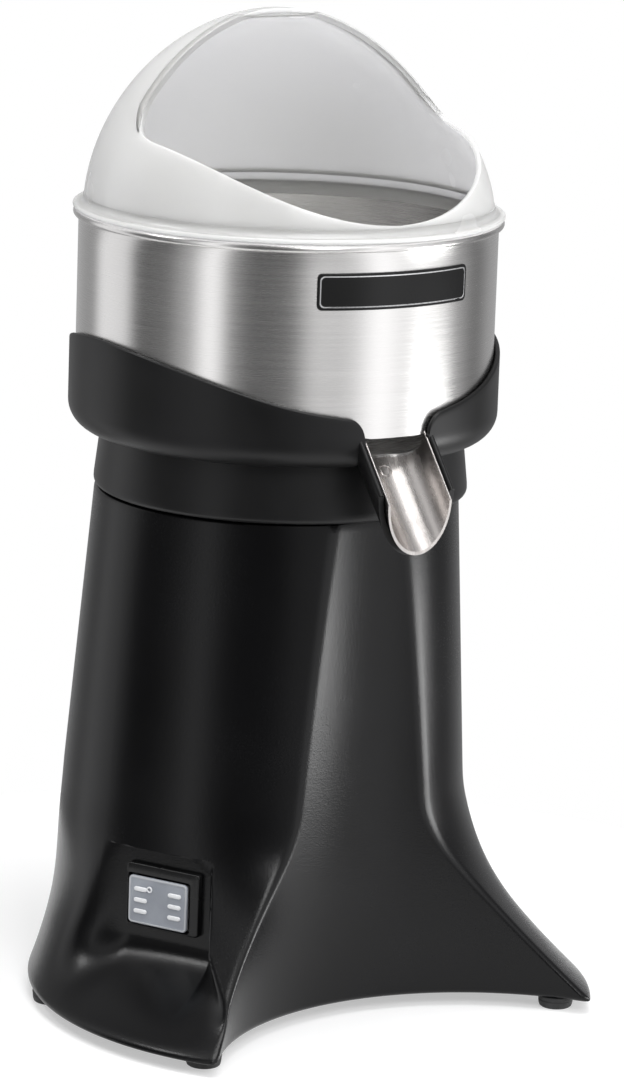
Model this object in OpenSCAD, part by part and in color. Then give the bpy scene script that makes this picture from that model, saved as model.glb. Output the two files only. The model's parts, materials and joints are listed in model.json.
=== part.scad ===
// Citrus press juicer: a motor in a cast pedestal turns a fluted reamer inside a
// lift-off bowl with a spout, under a one-piece splash guard.
// Millimetres, +Z up, the front (spout side) faces -Y.  The origin is at table height,
// below the middle of the overall box; the bowl and the shaft share one vertical axis.

/* [Overall] */
// Height of the bowl rim above the table
rim_z = 374; // [370:1:380]
// Distance of the bowl axis behind the middle of the overall box
axis_y = 9.7; // [0:0.1:15]

/* [Housing] */
// Mean radius of the housing just under the collar
body_r = 86.9; // [86:0.1:87.5]
// Growth of the mean radius for each millimetre further down
body_taper = 0.069; // [0.06:0.001:0.075]
// How strongly the skirt flares out over the feet
skirt_flare = 120; // [110:1:125]
// How strongly the flare pushes the two front legs forward
leg_reach = 102; // [95:1:106]
// Radius of the hollow at the front that a glass stands in
scoop_r = 127; // [120:1:135]
// Distance from the bowl axis to the deepest point of that hollow, at table height
scoop_front = 76.5; // [75:0.5:78]
// Thickness of the cast wall
wall = 3.5; // [3:0.1:4]
// Gap between the table and the lower edge of the skirt
skirt_z = 6; // [5:0.5:8]

/* [Collar] */
// Outer radius of the collar's cup
collar_r = 102; // [101.5:0.1:103]
// Thickness of the moulded collar
collar_wall = 2.5; // [2:0.1:2.8]
// Height of the highest points of its upper edge, left and right
collar_top_z = 319.3; // [316:0.1:324]
// Drop of the upper edge from there to its lowest points, front and rear
collar_dip = 26.5; // [20:0.5:30]

/* [Bowl] */
// Outer radius of the bowl
bowl_r = 99; // [98.5:0.1:99.2]
// Thickness of the bowl's sheet
sheet = 1.2; // [1:0.1:1.5]
// Height of the underside of the bowl
bowl_z = 272.4; // [272.3:0.1:273]
// Outer radius of the half-round spout
spout_r = 17.2; // [16:0.1:17.4]
// Angle of the spout below level
spout_fall = 48.5; // [46:0.5:50]

/* [Splash guard] */
// Radius of the guard's wall where it leaves the rim
guard_r = 97; // [96:0.1:97.5]
// Height of the guard above the rim
guard_h = 94; // [90:0.5:98]
// Thickness of the guard
guard_wall = 2.5; // [2:0.1:3]

/* [Reamer and strainer] */
// Largest radius of the reamer
reamer_r = 38; // [34:0.5:40]
// Height of the reamer
reamer_h = 49; // [44:1:50]
// Number of flutes on the reamer
flutes = 10; // [8:1:12]
// Outer radius of the strainer
strainer_r = 90; // [86:0.5:92]

/* [Switch] */
// Direction that the switch faces, turned from the front towards the left side
switch_angle = 63; // [60:1:66]
// Height of the middle of the switch
switch_z = 57.7; // [56:0.1:62]
// Half of the rocker's travel
rocker_tilt = 6; // [4:1:8]

/* [Motor] */
// Outer radius of the motor shell
motor_r = 62; // [58:0.5:64]
// Radius of the shaft in the bearings
shaft_r = 8; // [7.5:0.1:8.5]

/* [Hidden] */

$fn = 96;
eps = 0.01;

// Levels of the pedestal
deck_z = 241;            // shoulder that the collar's lower edge stands over
deck_t = 5;              // thickness of the deck
spigot_r = 83.6;         // spigot that the collar slips over
spigot_top = 252;
scoop_lean = 3.5 / deck_z;   // the hollow leans forward a little towards the top
edge_round = 5;          // rounding of the two upright edges of the hollow
foot_round = 3;          // rounding of the skirt's lower edge

// Smooth step that is 0 above the height `top` and 1 from `len` below it
function ease(z, top, len) = (1 - cos(180 * min(1, max(0, (top - z) / len)))) / 2;
// Outline of the housing as a radius round the bowl axis; d is measured from the front
function mean_r(z) = body_r + body_taper * (deck_z - z) + skirt_flare * ease(z, 102, 275);
function shift_r(z) = -3.2 - 0.027 * (deck_z - z) + leg_reach * ease(z, 106, 208);
function oval_r(z) = 7 * ease(z, 88, 53);
function outline_r(z, d) = mean_r(z) + shift_r(z) * cos(d) + oval_r(z) * cos(2 * d);
// Centre of the front hollow, measured forward from the bowl axis
function scoop_c(z) = scoop_front + scoop_lean * z + scoop_r;

function outer_pt(z, d, inset) = let (r = outline_r(z, d) - inset) [r * sin(d), -r * cos(d)];
function scoop_pt(z, a, inset) =
    let (r = scoop_r + inset) [r * sin(a), -(scoop_c(z) - r * cos(a))];
function in_scoop(z, d, inset) =
    norm(outer_pt(z, d, inset) + [0, scoop_c(z)]) < scoop_r + inset;
// Direction in which the outline meets the hollow, found by halving the interval
function edge_dir(z, inset, lo = 0, hi = 80, n = 18) =
    n == 0 ? (lo + hi) / 2
    : let (mid = (lo + hi) / 2) in_scoop(z, mid, inset)
        ? edge_dir(z, inset, mid, hi, n - 1) : edge_dir(z, inset, lo, mid, n - 1);
function bend(p0, p1, p2, t) = (1 - t) * (1 - t) * p0 + 2 * t * (1 - t) * p1 + t * t * p2;
function flip(p) = [-p[0], p[1]];

back_steps = 36;         // points round the back of one outline
scoop_steps = 16;        // points across the hollow
bend_steps = 4;          // points round each upright edge

// Half of one closed outline, from the middle of the hollow to the middle of the back
function half_ring(z, inset) =
    let (d = edge_dir(z, inset), e = outer_pt(z, d, inset),
         a = asin(e[0] / (scoop_r + inset)),
         d1 = d + edge_round / outline_r(z, d) * 180 / PI,
         a1 = a - edge_round / scoop_r * 180 / PI,
         p0 = scoop_pt(z, a1, inset), p2 = outer_pt(z, d1, inset))
    concat([for (i = [0:scoop_steps / 2 - 1]) scoop_pt(z, a1 * i / (scoop_steps / 2), inset)],
           [for (i = [0:bend_steps - 1]) bend(p0, e, p2, i / bend_steps)],
           [for (i = [0:back_steps / 2]) outer_pt(z, d1 + (180 - d1) * i / (back_steps / 2), inset)]);
// Closed outline, counter-clockwise from above
function ring(z, inset) =
    let (h = half_ring(z, inset), n = len(h))
    concat(h, [for (i = [n - 2:-1:1]) flip(h[i])]);
function at_z(pts, z) = [for (p = pts) [p[0], p[1], z]];

// Solid skin through a list of closed rings; each flat end is a fan round the point `hub`
module loft(rings, hub = [0, 0]) {
    n = len(rings[0]);
    m = len(rings);
    low = n * m;
    polyhedron(
        points = concat([for (r = rings) each r],
                        [[hub[0], hub[1], rings[0][0][2]], [hub[0], hub[1], rings[m - 1][0][2]]]),
        faces = concat(
            [for (i = [0:n - 1]) [low, i, (i + 1) % n]],
            [for (k = [0:m - 2]) for (i = [0:n - 1])
                each [[k * n + (i + 1) % n, k * n + i, (k + 1) * n + i],
                      [(k + 1) * n + (i + 1) % n, k * n + (i + 1) % n, (k + 1) * n + i]]],
            [for (i = [0:n - 1]) [low + 1, (m - 1) * n + (i + 1) % n, (m - 1) * n + i]]));
}
// Everything is drawn round the bowl axis and then moved to its place in the box
module on_axis() translate([0, axis_y, 0]) children();
module ring_solid(r_out, r_in, z0, z1) translate([0, 0, z0]) difference() {
    cylinder(r = r_out, h = z1 - z0);
    translate([0, 0, -eps]) cylinder(r = r_in, h = z1 - z0 + 2 * eps);
}
// Places children at n places round the axis
module around(n, r, a0 = 0) for (i = [0:n - 1])
    rotate([0, 0, a0 + i * 360 / n]) translate([r, 0, 0]) children();

// ---------------------------------------------------------------- housing
ring_hub = [0, 80];      // a point from which every outline is seen whole
outer_levels = [9, 15, 22, 29, 36, 43, 50, 58, 66, 75, 85, 97, 120, 150, 180, 210, 238];
inner_levels = [skirt_z, 16, 26, 36, 46, 56, 68, 82, 97, 130, 170, 210, deck_z - deck_t];
module housing_skin() {
    loft([at_z(ring(skirt_z, foot_round), skirt_z),
          at_z(ring(skirt_z + 0.9, foot_round * 0.3), skirt_z + 0.9),
          for (z = outer_levels) at_z(ring(z, 0), z),
          at_z(ring(deck_z, 0.8), deck_z)], ring_hub);
}
module housing_hollow() {
    loft([at_z(ring(skirt_z, wall + foot_round / 2), skirt_z - 1),
          for (z = inner_levels) at_z(ring(z, wall), z)], ring_hub);
}

// Base plate and its bosses; places are [direction from the front, distance from the bowl axis]
plate_z = 9;             // underside of the base plate
plate_t = 2.5;
boss_spots = [[70, 107], [122, 96]];
boss_r = 6.5;
boss_h = 29.5;
web_t = 3;               // web that ties each boss to the wall
web_len = 20;
base_screw_r = 2;
module boss_places() for (p = boss_spots, s = [-1, 1])
    rotate([0, 0, s * p[0]]) translate([0, -p[1], 0]) children();

// Switch pocket: an upright flat recess in the left leg; its floor reaches these distances
// from the middle of the switch, and its sides slope outwards by these angles
pocket_floor = 94.5;     // distance of the pocket's floor from the bowl axis
pocket_wall = 2.5;
pocket_front = 27;
pocket_rear = 19;
pocket_up = 24;
pocket_down = 14;
front_slope = 31;
rear_slope = 58;         // the rear and lower sides run out into the flare
upper_slope = 8;
sill_slope = 30;
pocket_deep = 60;        // how far out the recess is cut
bezel_w = 40;
bezel_h = 30.4;
bezel_t = 3;
bezel_side = 2;
bezel_up = 2;
can_w = 34;              // switch body behind the panel
can_h = 25;
can_depth = 24;
rocker_w = 30;
rocker_h = 21.2;

// Turns children so that +Y becomes the way the switch faces, at the pocket floor
module at_switch() rotate([0, 0, -switch_angle])
    translate([0, -pocket_floor, switch_z]) rotate([0, 0, 180]) children();
module slab(w, t, h) translate([-w / 2, 0, -h / 2]) cube([w, t, h]);
// Outline of the pocket at a distance d outside its floor, grown by g
function pocket_rim(d, g) =
    let (front = -pocket_front - g - d * tan(front_slope),
         rear = pocket_rear + g + d * tan(rear_slope),
         up = -pocket_up - g - d * tan(upper_slope),
         down = pocket_down + g + d * tan(sill_slope))
    [[front, up], [rear, up], [rear, down], [front, down]];
module pocket_shape(g) at_switch() rotate([-90, 0, 0])
    loft([for (d = [-g, pocket_deep]) at_z(pocket_rim(d, g), d)]);

// Cord inlet at the back, low on the housing
inlet_z = 40;
inlet_r = 8;
gland_flange_r = 11;
gland_bore_r = 4.2;
gland_depth = 16;
back_r = 106.4;          // outer face of the gland, measured behind the bowl axis

deck_hole_r = 33;
cushion_ring = 52;       // circle of the four motor mountings
collar_screw_ring = 74;
collar_boss_r = 5;

module housing() color([0.06, 0.06, 0.065]) on_axis() difference() {
    union() {
        housing_skin();
        ring_solid(spigot_r, spigot_r - wall, deck_z - 1, spigot_top);
        around(4, collar_screw_ring, 45) translate([0, 0, deck_z - 1])
            cylinder(r = collar_boss_r, h = spigot_top - deck_z + 1);
    }
    difference() {
        housing_hollow();
        // the pocket's own wall, which stays clear of the base plate
        intersection() {
            pocket_shape(pocket_wall);
            translate([-200, -200, plate_z + plate_t + 0.5]) cube([400, 400, deck_z]);
        }
        boss_places() translate([0, 0, plate_z + plate_t]) {
            cylinder(r = boss_r, h = boss_h);
            translate([-web_t / 2, -web_len, 0]) cube([web_t, web_len, boss_h]);
        }
        translate([0, back_r - 6, inlet_z]) rotate([-90, 0, 0]) cylinder(r = gland_flange_r + 2, h = 20);
    }
    pocket_shape(0);
    at_switch() translate([0, -40, 0]) slab(can_w + 0.6, 60, can_h + 0.6);
    translate([0, back_r - 20, inlet_z]) rotate([-90, 0, 0]) cylinder(r = inlet_r + 0.1, h = 40);
    translate([0, back_r - 2, inlet_z]) rotate([-90, 0, 0]) cylinder(r = gland_flange_r + 0.2, h = 40);
    translate([0, 0, deck_z - 6]) cylinder(r = deck_hole_r, h = 12);
    around(4, cushion_ring, 0) translate([0, 0, deck_z - 6]) cylinder(r = 5.1, h = 12);
    around(4, collar_screw_ring, 45) translate([0, 0, deck_z - 6]) cylinder(r = 1.8, h = 30);
    boss_places() translate([0, 0, plate_z]) cylinder(r = base_screw_r, h = 16);
}

// ---------------------------------------------------------------- base and feet
plate_gap = 0.8;         // between the plate's edge and the housing
vent_len = 50;
vent_w = 3;
// Feet: places from the bowl axis as [side, forward]
foot_spots = [[98, 108], [116.8, -4], [45, -79]];
foot_r = 8.5;
foot_neck_r = 4.6;
foot_screw_r = 2;
module foot_places() for (p = foot_spots, s = [-1, 1]) translate([s * p[0], -p[1], 0]) children();
module base_plate() color([0.2, 0.2, 0.21]) on_axis() difference() {
    translate([0, 0, plate_z]) linear_extrude(height = plate_t)
        polygon(ring(plate_z + plate_t, wall + plate_gap));
    for (x = [-40:10:40]) translate([x - vent_w / 2, -vent_len / 2, plate_z - 1])
        cube([vent_w, vent_len, plate_t + 2]);
    foot_places() translate([0, 0, plate_z - 1]) cylinder(r = foot_screw_r, h = plate_t + 2);
    boss_places() translate([0, 0, plate_z - 1]) cylinder(r = base_screw_r + 0.2, h = plate_t + 2);
}
module base_screws() color([0.6, 0.6, 0.62]) on_axis() boss_places() {
    translate([0, 0, plate_z - 1.8]) cylinder(r = 4, h = 1.8);
    translate([0, 0, plate_z - 1]) cylinder(r = base_screw_r - 0.05, h = plate_t + 12);
}
// Turned rubber foot with a neck that reaches up to the base plate
module foot(side, k) color([0.03, 0.03, 0.03]) on_axis()
    translate([side * foot_spots[k][0], -foot_spots[k][1], 0]) rotate_extrude()
        polygon([[2.4, 2.6], [2.4, plate_z], [foot_neck_r, plate_z], [foot_neck_r, skirt_z - 0.1],
                 [foot_r, skirt_z - 0.1], [foot_r, skirt_z - 1], [foot_r - 0.8, 0.8], [foot_r - 1.6, 0],
                 [4.6, 0], [4.6, 2.6]]);
module foot_front_left() foot(-1, 0);
module foot_front_right() foot(1, 0);
module foot_side_left() foot(-1, 1);
module foot_side_right() foot(1, 1);
module foot_rear_left() foot(-1, 2);
module foot_rear_right() foot(1, 2);
module foot_screws() color([0.6, 0.6, 0.62]) on_axis() foot_places() {
    translate([0, 0, 0.9]) cylinder(r = 4, h = 1.6);
    translate([0, 0, 2]) cylinder(r = foot_screw_r - 0.05, h = plate_z + plate_t);
}

// ---------------------------------------------------------------- collar
cup_floor_z = 272;       // seat of the bowl inside the cup
cup_round = 13;
neck_top_r = 86.6;
neck_low_r = 89;
neck_low_z = deck_z + 1;
neck_round = 3;
seat_hole_r = 50;
gap_half = 17.5;         // half of the gap between the two front lobes
gap_low = 5;             // the gap reaches this far below the cup's floor
lobe_round = 10;
collar_flange_t = 2.5;
spout_line = [98.2, 284];    // point where the spout's rim line leaves the bowl: forward, up
cradle_r = spout_r + 3.2;
cradle_clear = 0.6;

// Outline of the collar's half section, in radius and height
module collar_section() {
    under_z = cup_floor_z - collar_wall;
    inner_round = cup_round - collar_wall;
    round_r = collar_r - cup_round;
    polygon([[seat_hole_r, under_z], [neck_top_r - 3.2, under_z - 1], [neck_top_r, under_z - 1],
             for (a = [-90:15:0]) [round_r + cup_round * cos(a), under_z + cup_round * (1 + sin(a))],
             [collar_r, collar_top_z + 1], [collar_r - collar_wall, collar_top_z + 1],
             for (a = [0:-15:-90]) [round_r + inner_round * cos(a),
                                    cup_floor_z + inner_round * (1 + sin(a))],
             [seat_hole_r, cup_floor_z]]);
    polygon([[neck_top_r - 2.6, under_z + 0.5], [neck_top_r, under_z + 0.5],
             [neck_low_r, neck_low_z + neck_round],
             for (a = [0:-22.5:-90]) [neck_low_r - neck_round + neck_round * cos(a),
                                      neck_low_z + neck_round + neck_round * sin(a)],
             [spigot_r + 0.3, neck_low_z], [spigot_r + 0.3, under_z - 6]]);
    // inner flange that the collar screws clamp to the housing, and the web above it
    translate([collar_screw_ring - 7, spigot_top])
        square([spigot_r - collar_screw_ring + 8, collar_flange_t]);
    translate([spigot_r - 1.9, spigot_top + 1]) square([2.9, under_z - spigot_top]);
}
// Upper edge of the collar seen from the side: it dips to the front and to the rear
module above_collar_edge() {
    reach = collar_r + 10;
    rotate([90, 0, 90]) translate([0, 0, -reach]) linear_extrude(height = 2 * reach)
        polygon(concat([for (y = [-reach:reach / 14:reach + eps])
                        [y, collar_top_z - collar_dip * pow(y / collar_r, 2)]],
                       [[reach, collar_top_z + 60], [-reach, collar_top_z + 60]]));
}
// Prism along -Y through the gap between the lobes
module lobe_gap() {
    lobe_z = collar_top_z - collar_dip;
    translate([0, -seat_hole_r - 20, 0]) rotate([90, 0, 0]) linear_extrude(height = 60) difference() {
        union() {
            translate([-gap_half, cup_floor_z - gap_low]) square([2 * gap_half, 80]);
            translate([-gap_half - lobe_round, lobe_z - lobe_round + 2])
                square([2 * (gap_half + lobe_round), 60]);
        }
        for (s = [-1, 1]) translate([s * (gap_half + lobe_round), lobe_z - lobe_round + 2])
            circle(r = lobe_round);
    }
}
// Children run down the spout's rim line, with +Z along the fall and +Y up out of the trough
module along_spout() translate([0, -spout_line[0], spout_line[1]])
    rotate([90 + spout_fall, 0, 0]) children();
spout_len = 35.2;        // from the bowl wall to the end of the rims
spout_end_lean = 3;      // the trough ends in a plane that leans this far from upright
cradle_back = 5;         // the cradle ends this far up the fall from the trough's end
module half_pipe(r_out, r_in, z0, z1) translate([0, 0, z0]) linear_extrude(height = z1 - z0)
    difference() {
        circle(r = r_out);
        circle(r = r_in);
        translate([-2 * r_out, 0]) square([4 * r_out, 2 * r_out]);
    }
// Everything past the leaning plane that ends a trough whose rims are `len` long
module past_end(len)
    translate([0, -spout_line[0] - len * cos(spout_fall), spout_line[1] - len * sin(spout_fall)])
        rotate([spout_end_lean, 0, 0]) translate([-50, -100, -100]) cube([100, 100, 200]);
// The bowl's outline without its spout, grown by g to the side and by g_low below
module bowl_outline(g, g_low) {
    r0 = bowl_r - bowl_round;
    rotate_extrude() polygon([[0, bowl_z - g_low], [r0, bowl_z - g_low],
        for (a = [-80:10:0]) [r0 + (bowl_round + g) * cos(a),
                              bowl_z + bowl_round + (bowl_round + g) * sin(a)],
        [bowl_r + g, rim_z], [0, rim_z]]);
}
bowl_gap = 0.3;          // running clearance between the bowl and the cradle
module collar() color([0.07, 0.07, 0.075]) on_axis() difference() {
    union() {
        difference() {
            rotate_extrude() collar_section();
            above_collar_edge();
            lobe_gap();
            along_spout() translate([0, 0, -30]) cylinder(r = spout_r + cradle_clear, h = 90);
        }
        difference() {
            intersection() {
                along_spout() half_pipe(cradle_r, spout_r + cradle_clear, -8, 60);
                translate([-60, -200, neck_low_z + 0.5]) cube([120, 200 - neck_top_r + 4, 60]);
            }
            past_end(spout_len - cradle_back);
            cylinder(r = neck_top_r - 2, h = cup_floor_z);
            bowl_outline(bowl_gap, bowl_gap / 2);
        }
    }
    around(4, collar_screw_ring, 45) translate([0, 0, spigot_top - 1]) cylinder(r = 2.3, h = 5);
}
module collar_screws() color([0.7, 0.7, 0.72]) on_axis() around(4, collar_screw_ring, 45) {
    translate([0, 0, spigot_top + collar_flange_t]) cylinder(r = 4, h = 2.2);
    translate([0, 0, deck_z - deck_t]) cylinder(r = 1.75, h = spigot_top + 3 - deck_z + deck_t);
}

// ---------------------------------------------------------------- drive tower and seal
tower_r = 13;
tower_top = 314;
tower_bore = 10.5;
spindle_r = 6;
seal_z = 305;
module drive_tower() color([0.75, 0.75, 0.77]) on_axis() difference() {
    union() {
        translate([0, 0, deck_z]) cylinder(r = 43, h = 4);
        translate([0, 0, deck_z]) cylinder(r1 = 26, r2 = tower_r, h = 26);
        translate([0, 0, deck_z]) cylinder(r = tower_r, h = tower_top - deck_z);
    }
    translate([0, 0, deck_z - 1]) cylinder(r = tower_bore, h = tower_top - deck_z - 20);
    translate([0, 0, deck_z - 1]) cylinder(r = spindle_r + 0.5, h = 100);
    translate([0, 0, seal_z]) cylinder(r = tower_bore, h = 20);
}
module shaft_seal() color([0.25, 0.1, 0.08]) on_axis() rotate_extrude()
    polygon([[spindle_r + 0.05, seal_z + 3.2], [spindle_r + 0.05, seal_z + 4], [spindle_r + 2, seal_z + 6],
             [tower_bore, seal_z + 6], [tower_bore, seal_z], [spindle_r + 2.6, seal_z],
             [spindle_r + 2.6, seal_z + 1.4]]);

// ---------------------------------------------------------------- motor
motor_top = 232;         // top face of the upper end bell, under the cushions
bell_h = 16;
shell_top = motor_top - bell_h;
shell_low = 112;
motor_low = shell_low - bell_h;
core_z = [135, 190];     // lower and upper face of the laminated core
core_h = core_z[1] - core_z[0];
slots = 24;
slot_ring = 43;
bearing_r = 17.5;
bearing_w = 11;
race_t = 3.2;
upper_bearing_z = motor_top - bearing_w - 1;
lower_bearing_z = motor_low + 1;
rotor_r = 33;
bolt_ring = 56.5;

module motor_shell() color([0.35, 0.36, 0.38]) on_axis()
    ring_solid(motor_r, motor_r - 2, shell_low, shell_top);
module stator_core() color([0.42, 0.42, 0.44]) on_axis() difference() {
    ring_solid(motor_r - 2, rotor_r + 0.6, core_z[0], core_z[1]);
    around(slots, slot_ring) translate([-5.5, -1.8, core_z[0] - 1]) cube([11, 3.6, core_h + 2]);
    around(4, bolt_ring, 45) translate([0, 0, core_z[0] - 1]) cylinder(r = 2.3, h = core_h + 2);
}
module stator_winding() color([0.72, 0.36, 0.16]) on_axis() {
    for (z = [core_z[0] - 7, core_z[1] + 7]) translate([0, 0, z]) rotate_extrude()
        translate([slot_ring + 1, 0]) circle(r = 6.9);
    around(slots, slot_ring) translate([-5, -1.5, core_z[0] - 2]) cube([9.5, 3, core_h + 4]);
}
module end_bell_solid(z0, inner_up) difference() {
    translate([0, 0, z0]) cylinder(r = motor_r, h = bell_h);
    translate([0, 0, inner_up ? z0 - 1 : z0 + 4]) difference() {
        cylinder(r = motor_r - 2.5, h = bell_h - 3);
        translate([0, 0, -1]) cylinder(r = bearing_r + 3, h = bell_h + 2);
        around(4, bolt_ring, 45) translate([0, 0, -1]) cylinder(r = 4.5, h = bell_h + 2);
    }
    around(4, bolt_ring, 45) translate([0, 0, z0 - 1]) cylinder(r = 2.1, h = bell_h + 2);
    around(8, 40, 22.5) translate([0, 0, z0 - 1]) cylinder(r = 4, h = bell_h + 2);
}
module upper_end_bell() color([0.55, 0.56, 0.58]) on_axis() difference() {
    end_bell_solid(shell_top, true);
    translate([0, 0, upper_bearing_z]) cylinder(r = bearing_r, h = bearing_w);
    translate([0, 0, shell_top - 1]) cylinder(r = bearing_r - 2.5, h = bell_h + 2);
    around(4, cushion_ring, 0) translate([0, 0, shell_top - 1]) cylinder(r = 2.05, h = bell_h + 2);
}
module lower_end_bell() color([0.55, 0.56, 0.58]) on_axis() difference() {
    end_bell_solid(motor_low, false);
    translate([0, 0, lower_bearing_z]) cylinder(r = bearing_r, h = bearing_w);
    translate([0, 0, motor_low - 1]) cylinder(r = bearing_r - 2.5, h = bell_h + 2);
}
module motor_bolts() color([0.7, 0.7, 0.72]) on_axis() {
    around(4, bolt_ring, 45) {
        translate([0, 0, motor_low - 4]) cylinder(r = 3.8, h = 4, $fn = 6);
        translate([0, 0, motor_low - 1]) cylinder(r = 2.05, h = motor_top - motor_low + 1);
    }
    around(4, cushion_ring, 0) {
        translate([0, 0, deck_z + 2.1]) cylinder(r = 3.8, h = 3);
        translate([0, 0, shell_top + 1]) cylinder(r = 2, h = deck_z + 3 - shell_top);
    }
}
// Rubber bobbins that hang the motor from the deck
module motor_cushions() color([0.05, 0.05, 0.05]) on_axis() around(4, cushion_ring, 0) rotate_extrude()
    polygon([[2.1, motor_top], [7.5, motor_top], [7.5, deck_z - deck_t], [5, deck_z - deck_t],
             [5, deck_z], [7.5, deck_z], [7.5, deck_z + 2], [2.1, deck_z + 2]]);

module outer_race(z) color([0.8, 0.8, 0.82]) on_axis() difference() {
    ring_solid(bearing_r, bearing_r - race_t, z, z + bearing_w);
    translate([0, 0, z + bearing_w / 2]) rotate_extrude() translate([12.75, 0]) circle(r = 2.9);
}
module inner_race(z) color([0.8, 0.8, 0.82]) on_axis() difference() {
    ring_solid(11.2, shaft_r, z, z + bearing_w);
    translate([0, 0, z + bearing_w / 2]) rotate_extrude() translate([12.75, 0]) circle(r = 2.6);
}
module balls(z) color([0.85, 0.85, 0.87]) on_axis() around(9, 12.75, 0)
    translate([0, 0, z + bearing_w / 2]) sphere(r = 2.58, $fn = 32);
module upper_bearing_outer() outer_race(upper_bearing_z);
module lower_bearing_outer() outer_race(lower_bearing_z);
module upper_bearing_inner() inner_race(upper_bearing_z);
module lower_bearing_inner() inner_race(lower_bearing_z);
module upper_bearing_balls() balls(upper_bearing_z);
module lower_bearing_balls() balls(lower_bearing_z);

// ---------------------------------------------------------------- rotor
fan_z = 78;
shaft_low = 74;
spindle_top = 350;
flat_at = 4.4;           // distance of the driving flat from the axis
flat_low = 324;
journal_top = upper_bearing_z + bearing_w;
tip_round = 1.5;
module drive_shaft() color([0.8, 0.8, 0.82]) on_axis() difference() {
    union() {
        translate([0, 0, shaft_low]) cylinder(r = 6, h = lower_bearing_z - shaft_low);
        translate([0, 0, lower_bearing_z - 1])
            cylinder(r = shaft_r - 0.02, h = journal_top - lower_bearing_z + 2);
        translate([0, 0, journal_top]) cylinder(r = spindle_r, h = spindle_top - tip_round - journal_top);
        translate([0, 0, spindle_top - tip_round])
            cylinder(r1 = spindle_r, r2 = spindle_r - tip_round, h = tip_round);
    }
    translate([-10, -10 - flat_at, flat_low]) cube([20, 10, 40]);
    ring_solid(8, 5, fan_z - 1.8, fan_z - 0.6);
}
module rotor_core() color([0.5, 0.5, 0.52]) on_axis() {
    ring_solid(rotor_r, shaft_r, core_z[0], core_z[1]);
    for (z = [core_z[0] - 6, core_z[1]]) ring_solid(rotor_r - 1, rotor_r - 9, z - eps, z + 6 + eps);
}
module cooling_fan() color([0.1, 0.1, 0.1]) on_axis() difference() {
    union() {
        translate([0, 0, fan_z]) cylinder(r = 13, h = 12);
        translate([0, 0, fan_z]) cylinder(r = 44, h = 2);
        around(9, 28, 0) rotate([0, 0, 25]) translate([-16, -1, fan_z]) cube([30, 2, 12]);
    }
    translate([0, 0, fan_z - 1]) cylinder(r = 6, h = 20);
}
module fan_clip() color([0.3, 0.3, 0.32]) on_axis() difference() {
    ring_solid(8.5, 5.02, fan_z - 1.7, fan_z - 0.7);
    translate([-2.5, 0, fan_z - 3]) cube([5, 20, 4]);
}

// ---------------------------------------------------------------- switch
module switch_bezel() color([0.04, 0.04, 0.04]) on_axis() at_switch() difference() {
    translate([-bezel_side, 0, bezel_up]) slab(bezel_w, bezel_t, bezel_h);
    translate([0, -1, 0]) slab(rocker_w + 4.2, 10, rocker_h + 3.4);
}
module switch_body() color([0.08, 0.08, 0.08]) on_axis() at_switch() {
    difference() {
        translate([0, -can_depth, 0]) slab(can_w, can_depth - 0.1, can_h);
        translate([0, -8, 0]) slab(rocker_w + 2, 20, rocker_h + 1.5);
    }
    for (x = [-9, 0, 9]) translate([x, -can_depth - 8, 0]) slab(0.8, 8.1, 6.3);
}
// The rocker turns about an upright pin line behind its face
rocker_pivot = -2.5;
module at_rocker() at_switch() translate([0, rocker_pivot, 0]) children();
module rocker() color([0.75, 0.75, 0.76]) on_axis() at_rocker() {
    translate([0, 0, -rocker_h / 2]) cylinder(r = 3, h = rocker_h);
    translate([0, 0, -rocker_h / 2]) linear_extrude(height = rocker_h)
        polygon([[-rocker_w / 2, 2.2], [-3, -1.5], [3, -1.5], [rocker_w / 2, 2.2],
                 [rocker_w / 2, 5.2], [rocker_w / 4, 4.6], [0, 4.4], [-rocker_w / 4, 4.6],
                 [-rocker_w / 2, 5.2]]);
}
// Clear rubber cover over the rocker with three grip bars at each end and a ring mark
boot_w = rocker_w + 2.4;
boot_h = rocker_h + 2;
boot_t = 1.2;
boot_y = 5.3;
bar_w = 7.5;             // grip bars
bar_h = 2.4;
bar_side = 9.6;
bar_pitch = 5.4;
module switch_boot() color([0.72, 0.74, 0.77]) on_axis() at_rocker() {
    translate([0, boot_y, 0]) slab(boot_w, boot_t, boot_h);
    for (s = [-1, 1], k = [-1:1]) translate([s * bar_side, boot_y + boot_t - eps, k * bar_pitch])
        slab(bar_w, 0.6, bar_h);
}

// ---------------------------------------------------------------- electrics in the base
cap_r = 17;
cap_len = 70;
cap_at = [58, 20, 40];   // middle of the capacitor, measured from the bowl axis
module capacitor() color([0.8, 0.8, 0.8]) on_axis() translate(cap_at) rotate([90, 0, 0]) {
    translate([0, 0, -cap_len / 2]) cylinder(r = cap_r, h = cap_len);
    for (x = [-6, 6]) translate([x, 0, cap_len / 2]) cylinder(r = 1.2, h = 7);
}
module capacitor_clamp() color([0.6, 0.6, 0.62]) on_axis() translate(cap_at) difference() {
    union() {
        rotate([90, 0, 0]) translate([0, 0, -6]) cylinder(r = cap_r + 1.5, h = 12);
        translate([-26, -6, plate_z + plate_t - cap_at[2]]) cube([52, 12, 2]);
        translate([-8, -6, plate_z + plate_t - cap_at[2]]) cube([16, 12, 16]);
    }
    rotate([90, 0, 0]) translate([0, 0, -10]) cylinder(r = cap_r, h = 20);
}
terminal_at = [-30, 62, plate_z + plate_t];
module terminal_block() color([0.85, 0.85, 0.82]) on_axis() translate(terminal_at) difference() {
    cube([44, 18, 16]);
    for (x = [6:8:40]) {
        translate([x, 9, 8]) cylinder(r = 2.4, h = 10);
        translate([x, -1, 6]) rotate([-90, 0, 0]) cylinder(r = 1.7, h = 20);
    }
}
module at_inlet() on_axis() translate([0, back_r, inlet_z]) rotate([-90, 0, 0]) children();
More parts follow.
